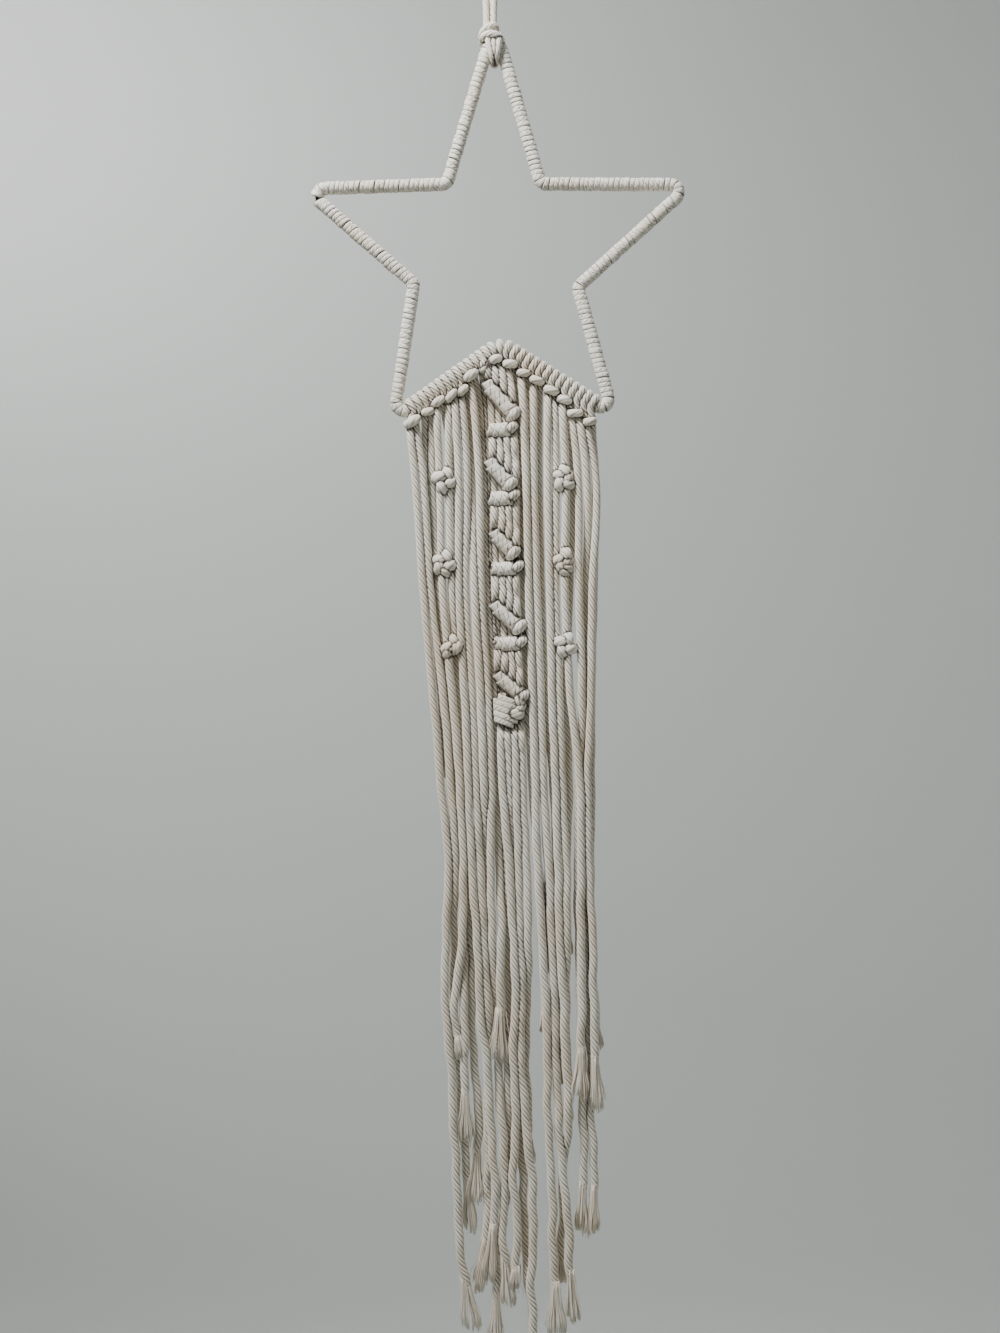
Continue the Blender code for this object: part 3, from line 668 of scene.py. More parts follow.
# %% Table of strands
LAYERS = {"F": -3.0, "f": -1.9, "r": 2.4, "R": 3.4}  # y of the front and the rear layers
LEVELS = (273, 351, 405, 454, 491, 540, 567, 599, 632, 664, 697, 724)
Strand = namedtuple("Strand", "layers xs tip_x tip_drop tip_half", defaults=(2.0,))
STRANDS = [Strand(*row) for row in (
    ("F", (-41.5, -35.5, -30.5, -26, -22.5, -24, -24, -21.4, -19.5, -18, -16, -13),
     -9.5, 743, 5.0),
    ("fffffR", (-37.5, -31.5, -25, -21, -18.8, -20, -20, -18, -15.2, -12.8), -10.4, 692, 3.8),
    ("R", (-35.5, -31.5, -27), -24.5, 446),
    ("rrrrrrff", (-31.5, -27.5, -23, -19, -15.5, -14, -14, -13.7, -13.4), -12.8, 643, 5.0),
    ("F", (-27.5, -25, -20, -16, -14.5, -15.5, -19.1), -16, 598),
    ("R", (-21, -21), -20.5, 376),
    ("ffR", (-22.5, -20, -17.5, -14, -12, -10.5, -10, -9, -6, -7.6), -8.8, 677, 5.2),
    ("F", (-17.2, -16.5, -13.5, -11.5, -10, -6.5, -5.5, -2, 0.5, 2.5, 2.5), 1, 715, 4.4),
    ("fffffffrrrr", (-12.9, -12.9, -9.4, -7.4, -5.6, -3, -1.5, -1, -1.5, -1, -2.5),
     -5.4, 724, 3.6),
    ("rFFFRR", (-10.4, -8, -4.9, -3.2, -2.4, -1.4), -0.8, 562),
    ("ffffffrrffff", (-6.5, -4.5, -0.9, 0.6, 0.5, 1.5, 3, 4.5, 6, 8, 7, 7.5), 10.5, 732, 4.6),
    ("rrrrrFF", (-4, -1.5, 2.5, 3.5, 5, 6, 5.5), 5.6, 599, 4.6),
    ("R", (-2.2, 1, 7, 8, 8.5, 9.5, 9.5, 9, 10, 9.5, 5, 3), 3, 755, 4.4),
    ("F", (1.5, 3, 5, 7, 10, 13, 13.8, 12.5, 14, 12.5, 15), 13, 722),
    ("ffffr", (5.5, 7, 8.5, 10.8, 13, 15, 16, 15, 16, 17.5, 19, 21), 25, 764),
    ("FFFFffffF", (9.2, 10.4, 12.5, 14.2, 15.3, 16.4, 17.2, 16.5, 19.5, 22.5, 23.5, 22),
     26, 768),
    ("ffffffR", (13.4, 14.2, 16.3, 17.8, 19.6, 20.7, 20, 19.5, 20.5), 21, 656),
    ("r", (16, 18.5, 20.4, 23, 26, 28.5, 29.5), 30, 586),
    ("F", (19, 21, 23, 24.5, 25.5, 28.5, 30, 31, 31, 33.5, 33.5, 35.5), 36, 746, 5.0),
    ("R", (21, 24, 26, 29, 31, 32.5), 33, 553),
    ("f", (23.5, 25.5, 27.5, 29, 31.5, 33.5, 34.5, 35.5, 37, 40, 42.5, 41.5), 45, 740, 3.6),
    ("r", (26.5, 28, 30, 34.5, 36, 36, 36.5, 38), 38, 613),
    ("FFFFFFFFFR", (31, 32.5, 33.5, 35.5, 36.5, 38, 39.5, 41, 42, 39.5, 38.5), 38, 721),
    ("ffffffR", (35.5, 35.5, 37.5, 39, 41, 41.5, 41, 42), 42.5, 634),
    ("F", (40.4, 40.4, 43.6, 48.8, 49, 49, 49.5), 48.5, 620, 4.8),
    ("R", (44.5, 43, 41, 43, 41.5), 42, 544),
    ("fffr", (46.5, 48, 49.5, 48, 47.5, 48, 49, 49.5, 50.5, 50.5), 48.5, 694, 3.6),
    ("FR", (51, 52, 51.5, 51.5, 51, 52, 53, 54.5, 55, 56.5), 55.5, 696, 3.8),
    ("f", (55.3, 55, 54.3, 52.6, 53.5, 55.5, 56, 56.5), 58, 625, 3.6),
    ("r", (56.5, 56.2, 55, 55, 54.5, 55.5, 56.8), 58, 594),
)]
print(len(STRANDS), "strands")

# %% [markdown]
# ## Mounting knots and strands
#
# A mounting cord is folded in half, its fold is laid in front of the wire, and both ends go over the
# wire, down behind it and out through the fold. Here each cord is a single route: up its left strand,
# round the wire, across the fold, round the wire again and down its right strand. The strands get a
# slight waviness that grows towards their ends, where nothing stretches them.

# %% Where the knots sit
KNOTS_LEFT = 8
KNOTS_RIGHT = 7
SPLIT_PAST_BEND = 1.5  # how far past the inner bend the left knots reach
WRAP_RADIUS = 3.55
FOLD_FORWARD = 5.0
FOLD_LENGTH = 5.0  # along the cord, over which it is fuller or thinner at its fold
KNOT_LENGTH = 27.0  # along the cord from its fold to its strand
KNOT_ENDS = 6  # the more, the more suddenly a knot ends there
KNOT_FULLNESS = 0.985  # half thickness of a turn, as a share of half the way to the next one
Fold = namedtuple("Fold", "x z lean reach half")
FOLDS = [Fold(*row) for row in (
    (-41.6, -255.4, 33, 2.6, 2.8), (-33.3, -250.1, 12, 1.5, 2.2), (-27.6, -244.5, 35, 1.9, 2.3),
    (-20.7, -241.5, 50, 2.2, 2.15), (-14.5, -238.6, 42, 1.7, 2.2), (-10.1, -230.5, 35, 2.3, 2.8),
    (-2.6, -226.7, 38, 1.4, 1.9), (3.1, -221.8, 20, 1.6, 2.45), (10.8, -224.5, -1, 2.1, 2.45),
    (18.0, -229.3, -5, 1.9, 2.15), (25.0, -233.3, -20, 2.3, 2.35), (32.8, -238.7, -20, 2.4, 2.4),
    (39.9, -243.7, -15, 2.1, 2.35), (45.7, -250.9, 3, 2.3, 2.2), (53.5, -255.4, 10, 1.8, 2.2),
)]

knots_split = WIRE_LENGTH + sum(BEND_ENDS["inner_bottom"]) / 2 + SPLIT_PAST_BEND
left_pitch = (knots_split - winding_last) / KNOTS_LEFT
right_pitch = (WIRE_LENGTH + winding_first - knots_split) / KNOTS_RIGHT
KNOT_MARKS = np.concatenate((winding_last + left_pitch * (np.arange(KNOTS_LEFT) + 0.5),
                             knots_split + right_pitch * (np.arange(KNOTS_RIGHT) + 0.5)))
WRAP_ASIDES = np.repeat((left_pitch / 4, right_pitch / 4), (KNOTS_LEFT, KNOTS_RIGHT))
print("knots", round(left_pitch, 1), "mm apart at the left,", round(right_pitch, 1), "at the right")

# %% A strand's route
STRAND_ASIDE = 1.8  # of a strand's root from the middle of its fold
ROOT_DEPTH = -0.8  # and behind its fold
ROOT_RISE = 0.6
STRAND_LEAD = 7.0  # from its root to where a strand reaches its layer
LEAD_SHARE = 0.3  # of the way sideways to its first place, gone by then
BRUSH = 24.0  # length of a frayed end
SHORT_BRUSH = 11.0  # and of one whose tip has hardly come apart
FRAYED_OVER = 2.0  # a tip with a half width over this is frayed
FRAY_TAPER = 0.6  # share of its brush over which a cord narrows inside it
LAST_CLEAR = 6  # a place nearer than this above a strand's end is left out
SLACK = 0.75  # most that a strand wanders sideways near its end
SLACK_FROM, SLACK_OVER, SLACK_GROWTH = 262, 500, 1.3  # height down, and how the slack grows
WAVES = (61, 37, 23)  # lengths of the wandering's waves


def brush_length(strand):
    return BRUSH if strand.tip_half > FRAYED_OVER else SHORT_BRUSH


def strand_keys(number):
    """Places down one strand, from behind its fold to its tip."""
    strand, fold = STRANDS[number], FOLDS[number // 2]
    aside = STRAND_ASIDE if number % 2 else -STRAND_ASIDE
    lean = math.radians(fold.lean)
    root_x = fold.x + aside * math.cos(lean)
    root_z = fold.z + aside * math.sin(lean) + ROOT_RISE
    depths = [LAYERS[letter] for letter in strand.layers.ljust(len(LEVELS), strand.layers[-1])]
    led_x = root_x + (strand.xs[0] - root_x) * LEAD_SHARE
    keys = [(root_x, ROOT_DEPTH, root_z), (led_x, depths[0], root_z - STRAND_LEAD)]
    keys += [(x, depth, -level) for level, x, depth in zip(LEVELS, strand.xs, depths)]
    end = strand.tip_drop - brush_length(strand) * FRAY_TAPER
    keys = [key for key in keys if key[2] > -end + LAST_CLEAR]
    share = (end + keys[-1][2]) / (strand.tip_drop + keys[-1][2])
    end_x = keys[-1][0] + (strand.tip_x - keys[-1][0]) * share
    return keys + [(end_x, depths[len(strand.xs) - 1], -end)]


def waved(route, seed):
    """The route with a little slack waviness that grows downwards."""
    chance = random.Random(seed)
    size = SLACK * np.clip((-route[:, 2] - SLACK_FROM) / SLACK_OVER, 0, 1) ** SLACK_GROWTH
    shift = np.zeros((len(route), 3))
    for length in WAVES:
        for direction, share in ((RIGHT, 1 / 2), (FRONT, 1 / 3)):
            wave = np.sin(route[:, 2] / length * math.tau + chance.uniform(0, math.tau))
            shift += direction * share * wave[:, None]
    return route + shift * size[:, None]


# %% [markdown]
# The middle strands pass over the upper edge of each slanting bar and dive into it, run on at the back
# to the row of hitches below, and come out under that row to hang in front again. The table's bars are
# slants and rows in turn, from the top, and its last one is the wraps that end the column.

# %% Bars and the strands that go through them
Bar = namedtuple("Bar", "x0 z0 x1 z1 half_width half_depth turns lean snug lump")
BARS = [Bar(*row) for row in (
    (-2.7, -233.3, 14.4, -252.2, 4.2, 3.6, 6, 0.0, 1.3, 3.6),
    (-2.2, -260.3, 13.0, -259.3, 4.1, 3.6, 4, -0.25, 1.08, 3.1),
    (-1.3, -275.4, 12.4, -290.0, 4.4, 3.6, 5, 0.0, 1.3, 3.6),
    (-1.3, -297.3, 14.0, -295.8, 4.3, 3.6, 4, -0.3, 1.08, 3.1),
    (1.1, -313.7, 14.0, -326.7, 4.2, 3.6, 5, 0.0, 1.3, 3.5),
    (0.0, -334.9, 16.2, -334.1, 4.0, 3.6, 4, -0.25, 1.08, 3.1),
    (1.1, -352.6, 17.3, -366.7, 4.2, 3.6, 5, 0.0, 1.3, 3.6),
    (2.4, -375.3, 18.1, -374.5, 4.0, 3.6, 4, -0.25, 1.08, 3.1),
    (3.2, -390.4, 18.9, -403.9, 4.2, 3.6, 5, 0.0, 1.3, 3.2),
    (8.6, -401.6, 8.6, -419.8, 6.8, 4.2, 5, -0.28, 1.0, 0.0),
)]
TUCKS = (  # from the bar or its row: heights where a strand starts and is there, and its depth
    ("bar", 14, 9, -4.4),  # over the bar's upper edge
    ("bar", 6.0, 2.6, -0.6),  # inside the bar
    ("bar", -1, -5, 3.6),  # at the back, between the bar and its row
    ("row", 5, 0, -0.6),  # inside the row
    ("row", -1.5, -5.5, -3.0),  # in front again
    ("row", -9, -14, None),  # where it would be without bars
)
BAR_SIDES = (0.5, 2.5)  # past a bar's ends, where strands are drawn in fully and not at all
IN_FRONT = (-0.5, 1.0)  # distances forward of strands that aren't drawn in and that are


def tucked(route):
    """The route with its depth changed where it goes through the bars of the middle column."""
    x, y, z = route.T
    depth = y
    for slant, row in zip(BARS[::2], BARS[1::2]):
        height = np.interp(x, (slant.x0, slant.x1), (slant.z0, slant.z1))
        row_height = min(row.z0, row.z1)
        middle = (height + row_height) / 2
        changed = y
        for base, start, end, wanted in TUCKS:
            if base == "bar":
                start, end = height + start, np.maximum(height + end, middle)
            else:
                start, end = np.minimum(row_height + start, middle), row_height + end
            share = ramp(start - z, 0, start - end)
            changed = changed + ((y if wanted is None else wanted) - changed) * share
        past = np.maximum(slant.x0 - x, x - slant.x1)
        depth = depth + (changed - y) * (1 - ramp(past, *BAR_SIDES)) * ramp(-y, *IN_FRONT)
    return np.stack([x, depth, z], axis=1)


# %% A mounting cord's whole route
WRAP_ANGLES = np.radians(np.arange(60, 331, 27))  # from the strand's side to the fold's side
FOLD_CROWN = 0.2  # of a fold's middle, to the front
FOLD_HALF = (  # along it as a share of its reach and in mm, to the front, and up
    (0.55, 0.0, 0.1, 0.0), (1.0, 0.0, -0.9, 0.0), (1.0, 0.2, -3.6, 1.2))
SWELLS = (17, 41)  # lengths over which a cord is a little thicker and thinner
SWELL = 0.012  # share of its thickness
LOOSENING = 0.12  # how much thicker a cord is near its end, where it has loosened
LOOSENED = (300, 700)  # heights down where that starts and is complete
NARROWED = 0.7  # how much a cord narrows inside its brush
KNOT_SMOOTHED = 0.25  # how much shallower its grooves are in its knot
FOLD_SMOOTHED = 0.3  # and in its fold


def wrap_keys(mark, aside):
    """One turn round the wire, from its front over its top and down its back."""
    places, _ = round_wire(np.full(len(WRAP_ANGLES), mark + aside), WRAP_ANGLES, WRAP_RADIUS)
    return [tuple(place) for place in places]


def fold_keys(fold):
    """The fold in front of the strands, with both of its ends tucked in behind them."""
    centre = np.array((fold.x, -FOLD_FORWARD, fold.z))
    lean = math.radians(fold.lean)
    along = RIGHT * math.cos(lean) + UP * math.sin(lean)
    right_half = [centre + along * (fold.reach * share + extra) + FRONT * front + UP * up
                  for share, extra, front, up in FOLD_HALF]
    left_half = [key - along * 2 * np.dot(key - centre, along) for key in right_half]
    return left_half[::-1] + [centre + FRONT * FOLD_CROWN] + right_half


def mounting_cord(knot):
    """Left strand, left turn, fold, right turn and right strand of one cord."""
    left, right = 2 * knot - 2, 2 * knot - 1
    mark, aside, fold = KNOT_MARKS[knot - 1], WRAP_ASIDES[knot - 1], FOLDS[knot - 1]
    keys = strand_keys(left)[::-1] + wrap_keys(mark, -aside) + fold_keys(fold)
    keys += wrap_keys(mark, aside)[::-1] + strand_keys(right)
    route = tucked(waved(smooth_route(keys), knot))
    travelled = travelled_along(route)
    chance = random.Random(100 + knot)
    swell = sum(np.sin(travelled / length + chance.uniform(0, math.tau)) for length in SWELLS)
    folded = np.argmin(np.linalg.norm(route - (fold.x, -FOLD_FORWARD, fold.z), axis=1))
    from_fold = np.abs(travelled - travelled[folded])
    at_knot = np.exp(-(from_fold / KNOT_LENGTH) ** KNOT_ENDS)
    at_fold = np.exp(-(from_fold / FOLD_LENGTH) ** 2)
    loosened = ramp(-route[:, 2], *LOOSENED)
    halves = CORD_HALF * (1 + SWELL * swell + LOOSENING * loosened)
    halves += (aside * KNOT_FULLNESS - halves) * at_knot
    halves += (fold.half - halves) * at_fold
    for number, from_end in ((left, travelled), (right, travelled[-1] - travelled)):
        halves *= 1 - NARROWED * ramp(-from_end, -brush_length(STRANDS[number]) * FRAY_TAPER, 0)
    grooves = GROOVE * (1 - KNOT_SMOOTHED * at_knot - FOLD_SMOOTHED * at_fold)
    return twisted_cord(route, half=halves, groove=grooves, turn=chance.uniform(0, math.tau))


cord_length = 0
for knot in range(1, KNOTS_LEFT + KNOTS_RIGHT + 1):
    cord = mounting_cord(knot)
    cord_length += cord.travelled[-1] / 1000
    lay(f"mounting_cord_{knot}", [cord], "macrame", "cotton_cord")
print("mounting cords:", round(cord_length, 2), "m in all")

# %% [markdown]
# ## Hitched bars
#
# Down the middle, strands are hitched round another strand, over and over, which makes a thick bar
# of turns lying side by side. Each bar is a flattened cord coiled round an oval, with its ends tucked
# in behind, and nearly all bars have a fat last hitch at their right.

# %% Hitched bars
BAR_DEPTH = -2.2
HITCH_STEPS = 18  # rings in each turn
HITCH_THICKNESS = 1.3  # half the thickness of the flattened cord
HITCH_SQUARE = 0.4  # as BAND_SQUARE
HITCH_WIDEST = 3.0
HITCH_SHIFTS = (-0.3, 0.3)  # of a turn along the bar
HITCH_SIZES = (0.94, 1.04)  # of a turn
END_SIZE = 0.3  # how small the coil gets where its end closes in
END_TURNS = 0.7  # turns over which it closes in


def hitched_bar(bar, seed):
    """A bar as one coiled cord whose ends close in."""
    uneven = np.random.default_rng(seed)
    start = np.array((bar.x0, BAR_DEPTH, bar.z0))
    end = np.array((bar.x1, BAR_DEPTH, bar.z1))
    along = unit(end - start)
    across = np.cross(along, FRONT)
    length = np.linalg.norm(end - start)
    turned = np.arange(bar.turns * HITCH_STEPS + 1) / HITCH_STEPS
    marks = np.linspace(HITCH_THICKNESS, length - HITCH_THICKNESS, bar.turns + 1)
    marks[1:-1] += uneven.uniform(*HITCH_SHIFTS, bar.turns - 1)
    mark = np.interp(turned, np.arange(bar.turns + 1), marks)
    sizes = uneven.uniform(*HITCH_SIZES, bar.turns + 1)
    size = np.interp(turned, np.arange(bar.turns + 1), sizes)
    closed_in = ramp(np.minimum(turned, bar.turns - turned), 0, END_TURNS)
    size *= END_SIZE + (1 - END_SIZE) * closed_in
    angles = turned * math.tau - math.pi / 2  # both ends are at the back
    wide = (bar.half_width - HITCH_THICKNESS) * size
    deep = (bar.half_depth - HITCH_THICKNESS) * size
    route = (start + along * (mark + bar.lean * wide * np.cos(angles))[:, None]
             + across * (wide * np.cos(angles))[:, None] + FRONT * (deep * np.sin(angles))[:, None])
    out = across * (deep * np.cos(angles))[:, None] + FRONT * (wide * np.sin(angles))[:, None]
    return wound_band(route, unit(out), HITCH_STEPS, HITCH_THICKNESS, bar.snug, HITCH_WIDEST,
                      HITCH_SQUARE)


# %% Lumps at the bars' ends
KNOT_STEP = 0.6  # between rings of a short cord in a knot
LUMP = (  # to the right, to the front and up, as shares of the lump's half width
    (0.38, -1.0, 0.55), (0.42, 0.0, 0.42), (0.20, 0.65, 0.12),
    (-0.12, 0.65, -0.15), (-0.36, 0.0, -0.32), (-0.40, -1.0, -0.38))
LUMP_BACK, LUMP_UP = 0.45, 0.25  # from the bar's end, as the same shares
LUMP_FORWARD = 0.7  # of the bar, in mm
LUMP_CORD = 0.82  # half thickness of the cord, as the same share
LUMP_GROOVE = 0.14


def end_lump(bar):
    """The fat last hitch at a bar's right end."""
    centre = np.array((bar.x1 - bar.lump * LUMP_BACK, BAR_DEPTH - LUMP_FORWARD,
                       bar.z1 + bar.lump * LUMP_UP))
    keys = [centre + (RIGHT * right + FRONT * front + UP * up) * bar.lump for right, front, up in LUMP]
    return twisted_cord(smooth_route(keys, KNOT_STEP), bar.lump * LUMP_CORD, LUMP_GROOVE)


hitches = [hitched_bar(bar, seed) for seed, bar in enumerate(BARS)]
hitches += [end_lump(bar) for bar in BARS if bar.lump]
lay("hitched_bars", tight(hitches), "macrame", "cotton_cord", wound_cotton)

# %% [markdown]
# ## Side knots
#
# Two strands are tied together three times at each side. From the front such a knot is four to six
# fat lobes round a dimple. Each lobe is a short bend of cord that comes up from behind, rounds over
# and dives into the dimple. The table gives the place of each dimple, and then how far right of it
# and above it the middle of each lobe is, and the lobe's half width. Its last row isn't a side knot:
# three such lobes close the wraps at the foot of the middle column.

# %% Knots
SIDE_KNOTS = (
    (-24.2, -287.2, ((0.8, 4.2, 2.4), (-3.2, 1.7, 2.9), (2.8, -0.5, 2.4), (-1.1, -3.7, 2.6))),
    (-24.6, -331.4, ((0.7, 3.8, 2.6), (-2.7, 1.6, 2.4), (-2.3, -2.6, 2.6), (3.2, -0.9, 2.7),
                    (1.0, -4.6, 2.2))),
    (-20.4, -377.0, ((-2.6, -0.3, 2.5), (2.4, 1.0, 2.8), (-2.2, -2.9, 2.2), (0.3, 4.4, 2.0),
                    (0.4, -0.6, 2.2))),
    (39.8, -286.6, ((0.0, 5.0, 2.5), (-3.0, 2.4, 2.1), (1.9, 1.9, 2.3), (-2.0, -2.8, 2.6),
                    (2.4, -1.9, 2.4))),
    (39.3, -330.2, ((1.2, 4.0, 2.7), (-2.5, 0.3, 2.4), (2.3, 0.3, 2.2), (-0.6, -3.4, 2.4),
                    (2.3, -3.2, 2.1), (0.9, -5.8, 2.0))),
    (40.4, -375.6, ((1.3, 4.0, 2.5), (-2.8, 1.7, 2.7), (3.1, -1.5, 2.6), (-0.9, -3.2, 2.6))),
    (11.0, -409.0, ((5.0, 5.2, 2.8), (3.4, -2.8, 2.9), (5.4, 0.6, 2.0))),
)
KNOT_DEPTH = -2.6
LOBE = (  # outwards from the lobe's middle, and to the front
    (1.1, -2.6), (1.1, -0.6), (0.4, 1.2), (-0.9, 1.8), (-2.2, 1.1), (-3.0, -0.9))
LOBE_LEAN = 2.4 / 3.5  # how fast a lobe turns round the dimple as it goes inwards
LEAN_MIDDLE = 0.6  # outwards from the lobe's middle, where it isn't turned yet
LOBE_TAPER = 0.42  # how much a lobe narrows towards the dimple
TAPER_FROM = 0.5  # of the way along it
LOBE_FULLNESS = 1.18
LOBE_GROOVE = 0.16
LOBE_SHADE = 2.4  # how far from the dimple a lobe gets painted shade


def side_knot(x, z, table):
    """The lobes of one knot."""
    lobes = []
    for right, up, half in table:
        middle = np.array((x + right, KNOT_DEPTH, z + up))
        out = unit(RIGHT * right + UP * up)
        round_it = np.cross(out, FRONT) * LOBE_LEAN
        keys = [middle + out * o + FRONT * f + round_it * (LEAN_MIDDLE - o) for o, f in LOBE]
        route = smooth_route(keys, KNOT_STEP)
        narrowed = LOBE_TAPER * ramp(np.linspace(0, 1, len(route)), TAPER_FROM, 1)
        cord = twisted_cord(route, half * LOBE_FULLNESS * (1 - narrowed), LOBE_GROOVE, turn=right)
        # painted shade where the lobe dives into the dimple
        lobes.append(sunk_end(cord, LOBE_SHADE))
    return lobes


lobes = [lobe for knot in SIDE_KNOTS for lobe in side_knot(*knot)]
lay("side_knots", tight(lobes), "macrame", "cotton_cord")

# %% [markdown]
# ## The hanging loop
#
# A doubled cord comes down from the nail, is knotted just above the star, crosses in front as one
# thick band, and goes down and round the top of the star as two cords side by side.

# %% Loop
LOOP_TOP = 5.0
LOOP_HALF = 2.0
BEND_KEYS = 9  # places round the loop's bend
LOOP_LEG = (  # its right leg; the left one mirrors it
    (4.6, 0.0, -9.0), (2.9, 0.0, -19.0), (2.05, -0.4, -29.0), (1.7, -1.4, -43.0))
KNOT_ARCH = (
    (-4.0, 1.5, -50.0), (-4.3, -1.4, -47.4), (-3.4, -3.2, -45.2), (-0.8, -4.4, -43.6),
    (1.8, -4.2, -42.6), (3.1, -2.8, -43.4), (2.6, -0.8, -45.6))
KNOT_BAND = (
    (-3.4, 2.4, -48.0), (-3.9, -1.6, -48.4), (-2.5, -4.6, -48.2), (0.6, -5.7, -47.8),
    (3.6, -5.2, -48.3), (5.6, -3.0, -49.2), (5.9, 1.0, -49.6))
STRAP_LEFT = (
    (-0.9, -3.4, -47.0), (-1.0, -5.0, -51.0), (-0.2, -5.2, -55.0), (1.0, -4.6, -58.6),
    (2.0, -2.8, -61.0), (2.4, 0.0, -61.8), (2.0, 2.8, -61.0), (1.0, 4.4, -58.6),
    (-0.2, 4.6, -55.0), (-1.0, 4.2, -51.0), (-0.9, 2.4, -46.0))
STRAP_MIRROR = 2.5855  # the strap's right cord mirrors its left one about this line
STRAP_NARROWER = 0.6176  # and is so much nearer to it
STRAP_SUNK = 0.96  # depth of its middle cord, as a share of theirs
ARCH_HALF, BAND_HALF, STRAP_HALF = 2.1, 2.2, 1.75
LOOP_STEP = 0.8
LOOP_GROOVE = 0.2


def loop_cords():
    """The loop's legs and bend as one cord, then its knot and the cords of its strap."""
    bend = [(LOOP_TOP * math.cos(angle), 0, LOOP_TOP * math.sin(angle) - LOOP_TOP + LOOP_HALF)
            for angle in np.linspace(0, math.pi, BEND_KEYS)]
    legs = [*LOOP_LEG[::-1], *bend, *[(-x, y, z) for x, y, z in LOOP_LEG]]
    strap = np.array(STRAP_LEFT)
    strap_right = strap.copy()
    strap_right[:, 0] = STRAP_MIRROR - (strap[:, 0] - STRAP_MIRROR) * STRAP_NARROWER
    strap_middle = (strap + strap_right) / 2 * (1, STRAP_SUNK, 1)
    routes = [(legs, LOOP_HALF), (KNOT_ARCH, ARCH_HALF), (KNOT_BAND, BAND_HALF),
              (strap, STRAP_HALF), (strap_middle, STRAP_HALF), (strap_right, STRAP_HALF)]
    return [twisted_cord(smooth_route(route, LOOP_STEP), half, LOOP_GROOVE, turn)
            for turn, (route, half) in enumerate(routes)]


lay("loop_cord", tight(loop_cords()), "hanging_loop", "cotton_loop")

# %% [markdown]
# ## Painted shade in the seams
#
# Where two cords press together, hardly any light gets in, and fluff fills the seam. That shade is
# painted into the colour through the crest value, which is 1 on open cotton and 0 in a groove. So
# every ring of every cord looks for rings of other cords close by, and its points that nearly touch
# one get painted shade. In the loop, the bars and the side knots, which are pulled tight, the seams
# are narrower.

# %% Seams
SEAM_REACH = 7.0  # most between the middles of two cords that touch
SEAM_GAPS = (0.35, 1.25)  # gaps with quite dark painted shade and with none
TIGHT_GAPS = (0.1, 0.85)  # the same in what is pulled tight
SEAM_CREST = 0.1  # crest value in the darkest painted seam shade
BEHIND = (-1.5, 0.0)  # y over which the painted seam shade in those fades out, towards the back
THICKNESS_SHARE = 30  # percentile of a ring's reach that counts as its half thickness


def shade_seams(cords):
    """The same cords with painted shade: their crests lowered where another cord is close."""
    middles = [cord.points.mean(axis=1) for cord in cords]
    all_middles = np.concatenate(middles)
    all_halves = np.concatenate([
        np.percentile(np.linalg.norm(cord.points - middle[:, None], axis=2), THICKNESS_SHARE, axis=1)
        for cord, middle in zip(cords, middles)])
    all_travelled = np.concatenate([cord.travelled for cord in cords])
    owners = np.repeat(np.arange(len(cords)), [len(middle) for middle in middles])
    tree = KDTree(len(all_middles))
    for index, middle in enumerate(all_middles):
        tree.insert(middle, index)
    tree.balance()
    shaded = []
    for owner, cord in enumerate(cords):
        crests = cord.crests.copy()
        rings = zip(cord.points, middles[owner], cord.travelled)
        for ring, (points, middle, at) in enumerate(rings):
            near = np.array([index for _, index, _ in tree.find_range(middle, SEAM_REACH)])
            others = (owners[near] != owner) | (np.abs(all_travelled[near] - at) > cord.own_length)
            near = near[others]
            if len(near):
                away = np.linalg.norm(points[:, None] - all_middles[near], axis=2)
                gaps = (away - all_halves[near]).min(axis=1)
                open_share = ramp(gaps, *(TIGHT_GAPS if cord.pulled_tight else SEAM_GAPS))
                if cord.pulled_tight:
                    open_share = np.maximum(open_share, ramp(points[:, 1], *BEHIND))
                crests[ring] *= SEAM_CREST + (1 - SEAM_CREST) * open_share
        shaded.append(cord._replace(crests=crests))
    return shaded


# %% Make the cotton pieces
shaded_cords = iter(shade_seams([cord for _, cords, *_ in laid for cord in cords]))
for name, cords, node, slot, material in laid:
    cord_piece(name, [next(shaded_cords) for _ in cords], node, material)

# %% [markdown]
# ## Frayed ends
#
# Where a strand is frayed, its plies open into a brush of loose yarns, which spread a little and end
# unevenly. Each brush is a few dozen thin three-sided yarns that start inside the cord.

# %% Brushes
YARN_HALF = 0.34
YARN_HALVES = (0.8, 1.3)  # smallest and largest, as shares of that
YARN_STEP = 4.0
YARN_TAPER = 0.5  # a yarn's thickness at its end, as a share of its start
YARNS = 92
FILLED_FROM = 0.15  # how empty the brush is in its middle, from 0 to 1
STRAYS, STRAY_OUT = 4, 1.6  # yarns that stand out, and how far
CLUMPS = 8
CLUMPED = 0.4  # how far a yarn's end moves to the middle of its clump
CLUMP_UNEVEN = (-0.12, 0.12)  # length, as a share of the brush's
YARN_UNEVEN = (-0.05, 0.12)
SIDES_RISE = 2  # of the brush's corners over its middle
INSIDE_CORD = 1.75  # how far from the cord's middle its outer yarns start
SHORT_SPREAD = 3.0  # half the width of a brush that has hardly come apart
SPREADS = (1.0, 1.35)  # of a yarn, as shares of the brush's spread
FLATNESS = 0.6  # a brush's depth, as a share of its width
NECK_IN, NECK_SPREAD, LAST_BEND = 0.6, 0.45, 0.2  # how a yarn leaves the cord and bends
BEND_FORWARD = (-0.5, 0.5)


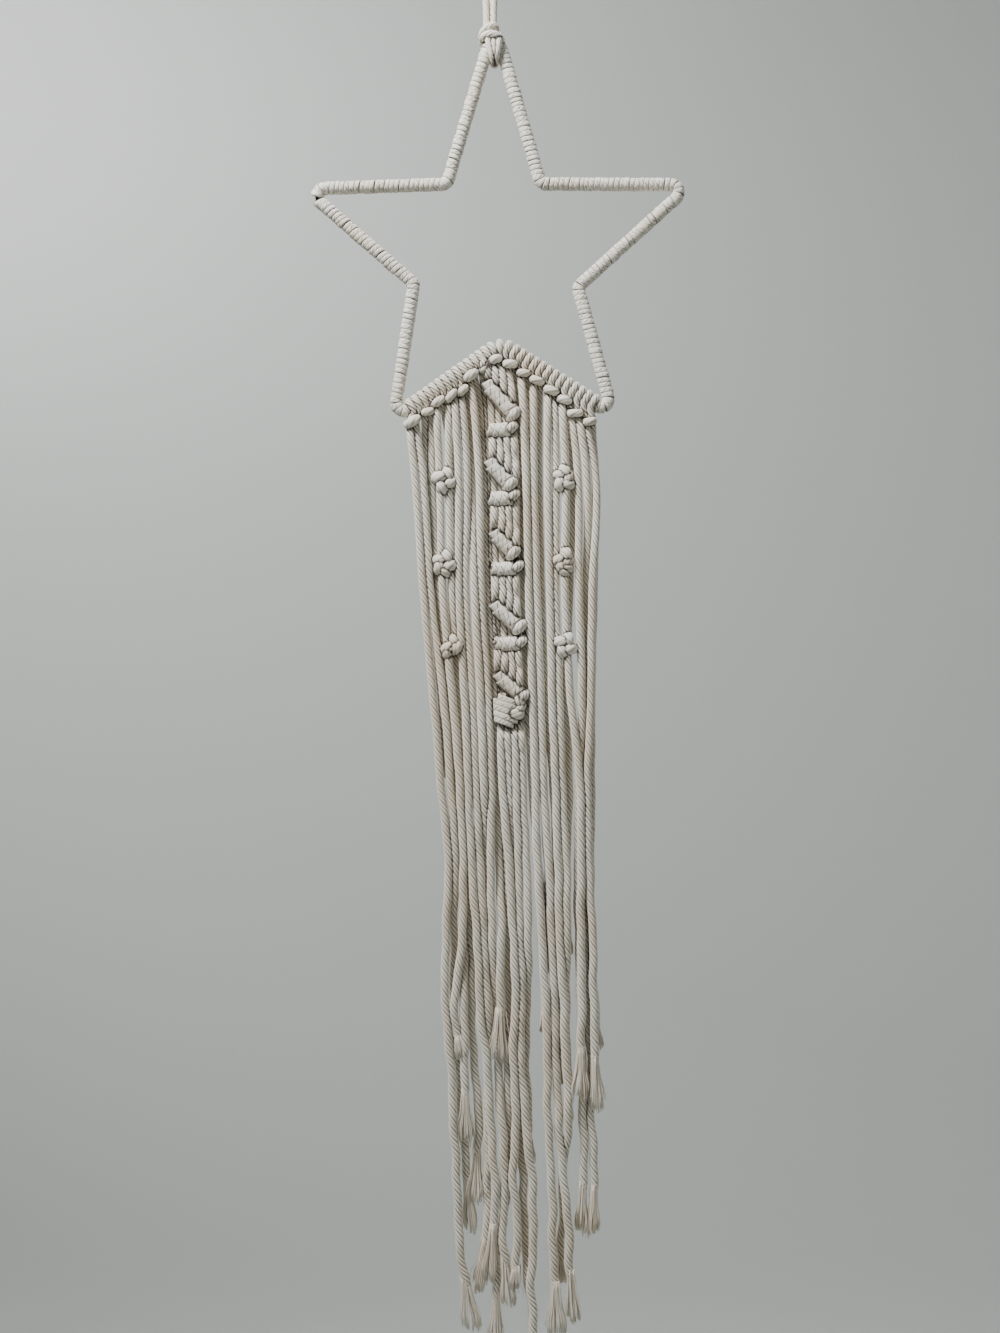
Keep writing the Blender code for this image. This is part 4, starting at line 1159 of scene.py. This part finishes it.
def yarn(keys, half):
    """A thin three-sided yarn that narrows to its end."""
    route = smooth_route(keys, YARN_STEP)
    halves = half * np.linspace(1, YARN_TAPER, len(route))[:, None]
    angles = np.arange(3)[None] / 3 * math.tau
    points = swept(route, halves * np.cos(angles), halves * np.sin(angles))
    return Cord(points, travelled_along(route), np.ones(points.shape[:2]))


def brush(number):
    """The yarns of one frayed end, which part into a few clumps."""
    chance = random.Random(number)
    strand = STRANDS[number]
    *_, before, root = [np.array(key) for key in strand_keys(number)]
    length = brush_length(strand)
    spread = strand.tip_half if strand.tip_half > FRAYED_OVER else SHORT_SPREAD
    tip = np.array((strand.tip_x, root[1], -strand.tip_drop))
    top = root - unit(root - before) * length * FRAY_TAPER
    clumps = [(chance.uniform(-1, 1), chance.uniform(-1, 1), chance.uniform(*CLUMP_UNEVEN))
              for _ in range(CLUMPS)]
    yarns = []
    for made in range(YARNS):
        angle = chance.uniform(0, math.tau)
        out = math.sqrt(chance.uniform(FILLED_FROM, 1)) * (STRAY_OUT if made < STRAYS else 1)
        side, front = out * math.cos(angle), out * math.sin(angle)
        clump = min(clumps, key=lambda spot: (spot[0] - side) ** 2 + (spot[1] - front) ** 2)
        end_side = side + (clump[0] - side) * CLUMPED
        end_front = front + (clump[1] - front) * CLUMPED
        here = (RIGHT * side + FRONT * front) * INSIDE_CORD
        there = RIGHT * end_side + FRONT * end_front * FLATNESS
        there *= spread * chance.uniform(*SPREADS)
        rise = (clump[2] + chance.uniform(*YARN_UNEVEN)) * length + SIDES_RISE * end_side ** 2
        start, end = top + here, tip + there + UP * rise
        neck = root + here * NECK_IN + there * NECK_SPREAD
        bent = (neck + end) / 2 + there * LAST_BEND + FRONT * chance.uniform(*BEND_FORWARD)
        yarns.append(yarn([start, (start + neck) / 2, neck, bent, end],
                          YARN_HALF * chance.uniform(*YARN_HALVES)))
    return yarns


yarns = [one for number in range(len(STRANDS)) for one in brush(number)]
cord_piece("frayed_ends", yarns, "macrame", fray_cotton)

# %% [markdown]
# ## Sizes, and the end
#
# The box of the solids and the box of what is shown are both printed before the script ends.

# %% Sizes and finish
visual_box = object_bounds()
for name, box in (("solids", cad_box), ("shown", visual_box)):
    print(name, [round((high - low) / MM, 1) for low, high in zip(*box)], "mm")
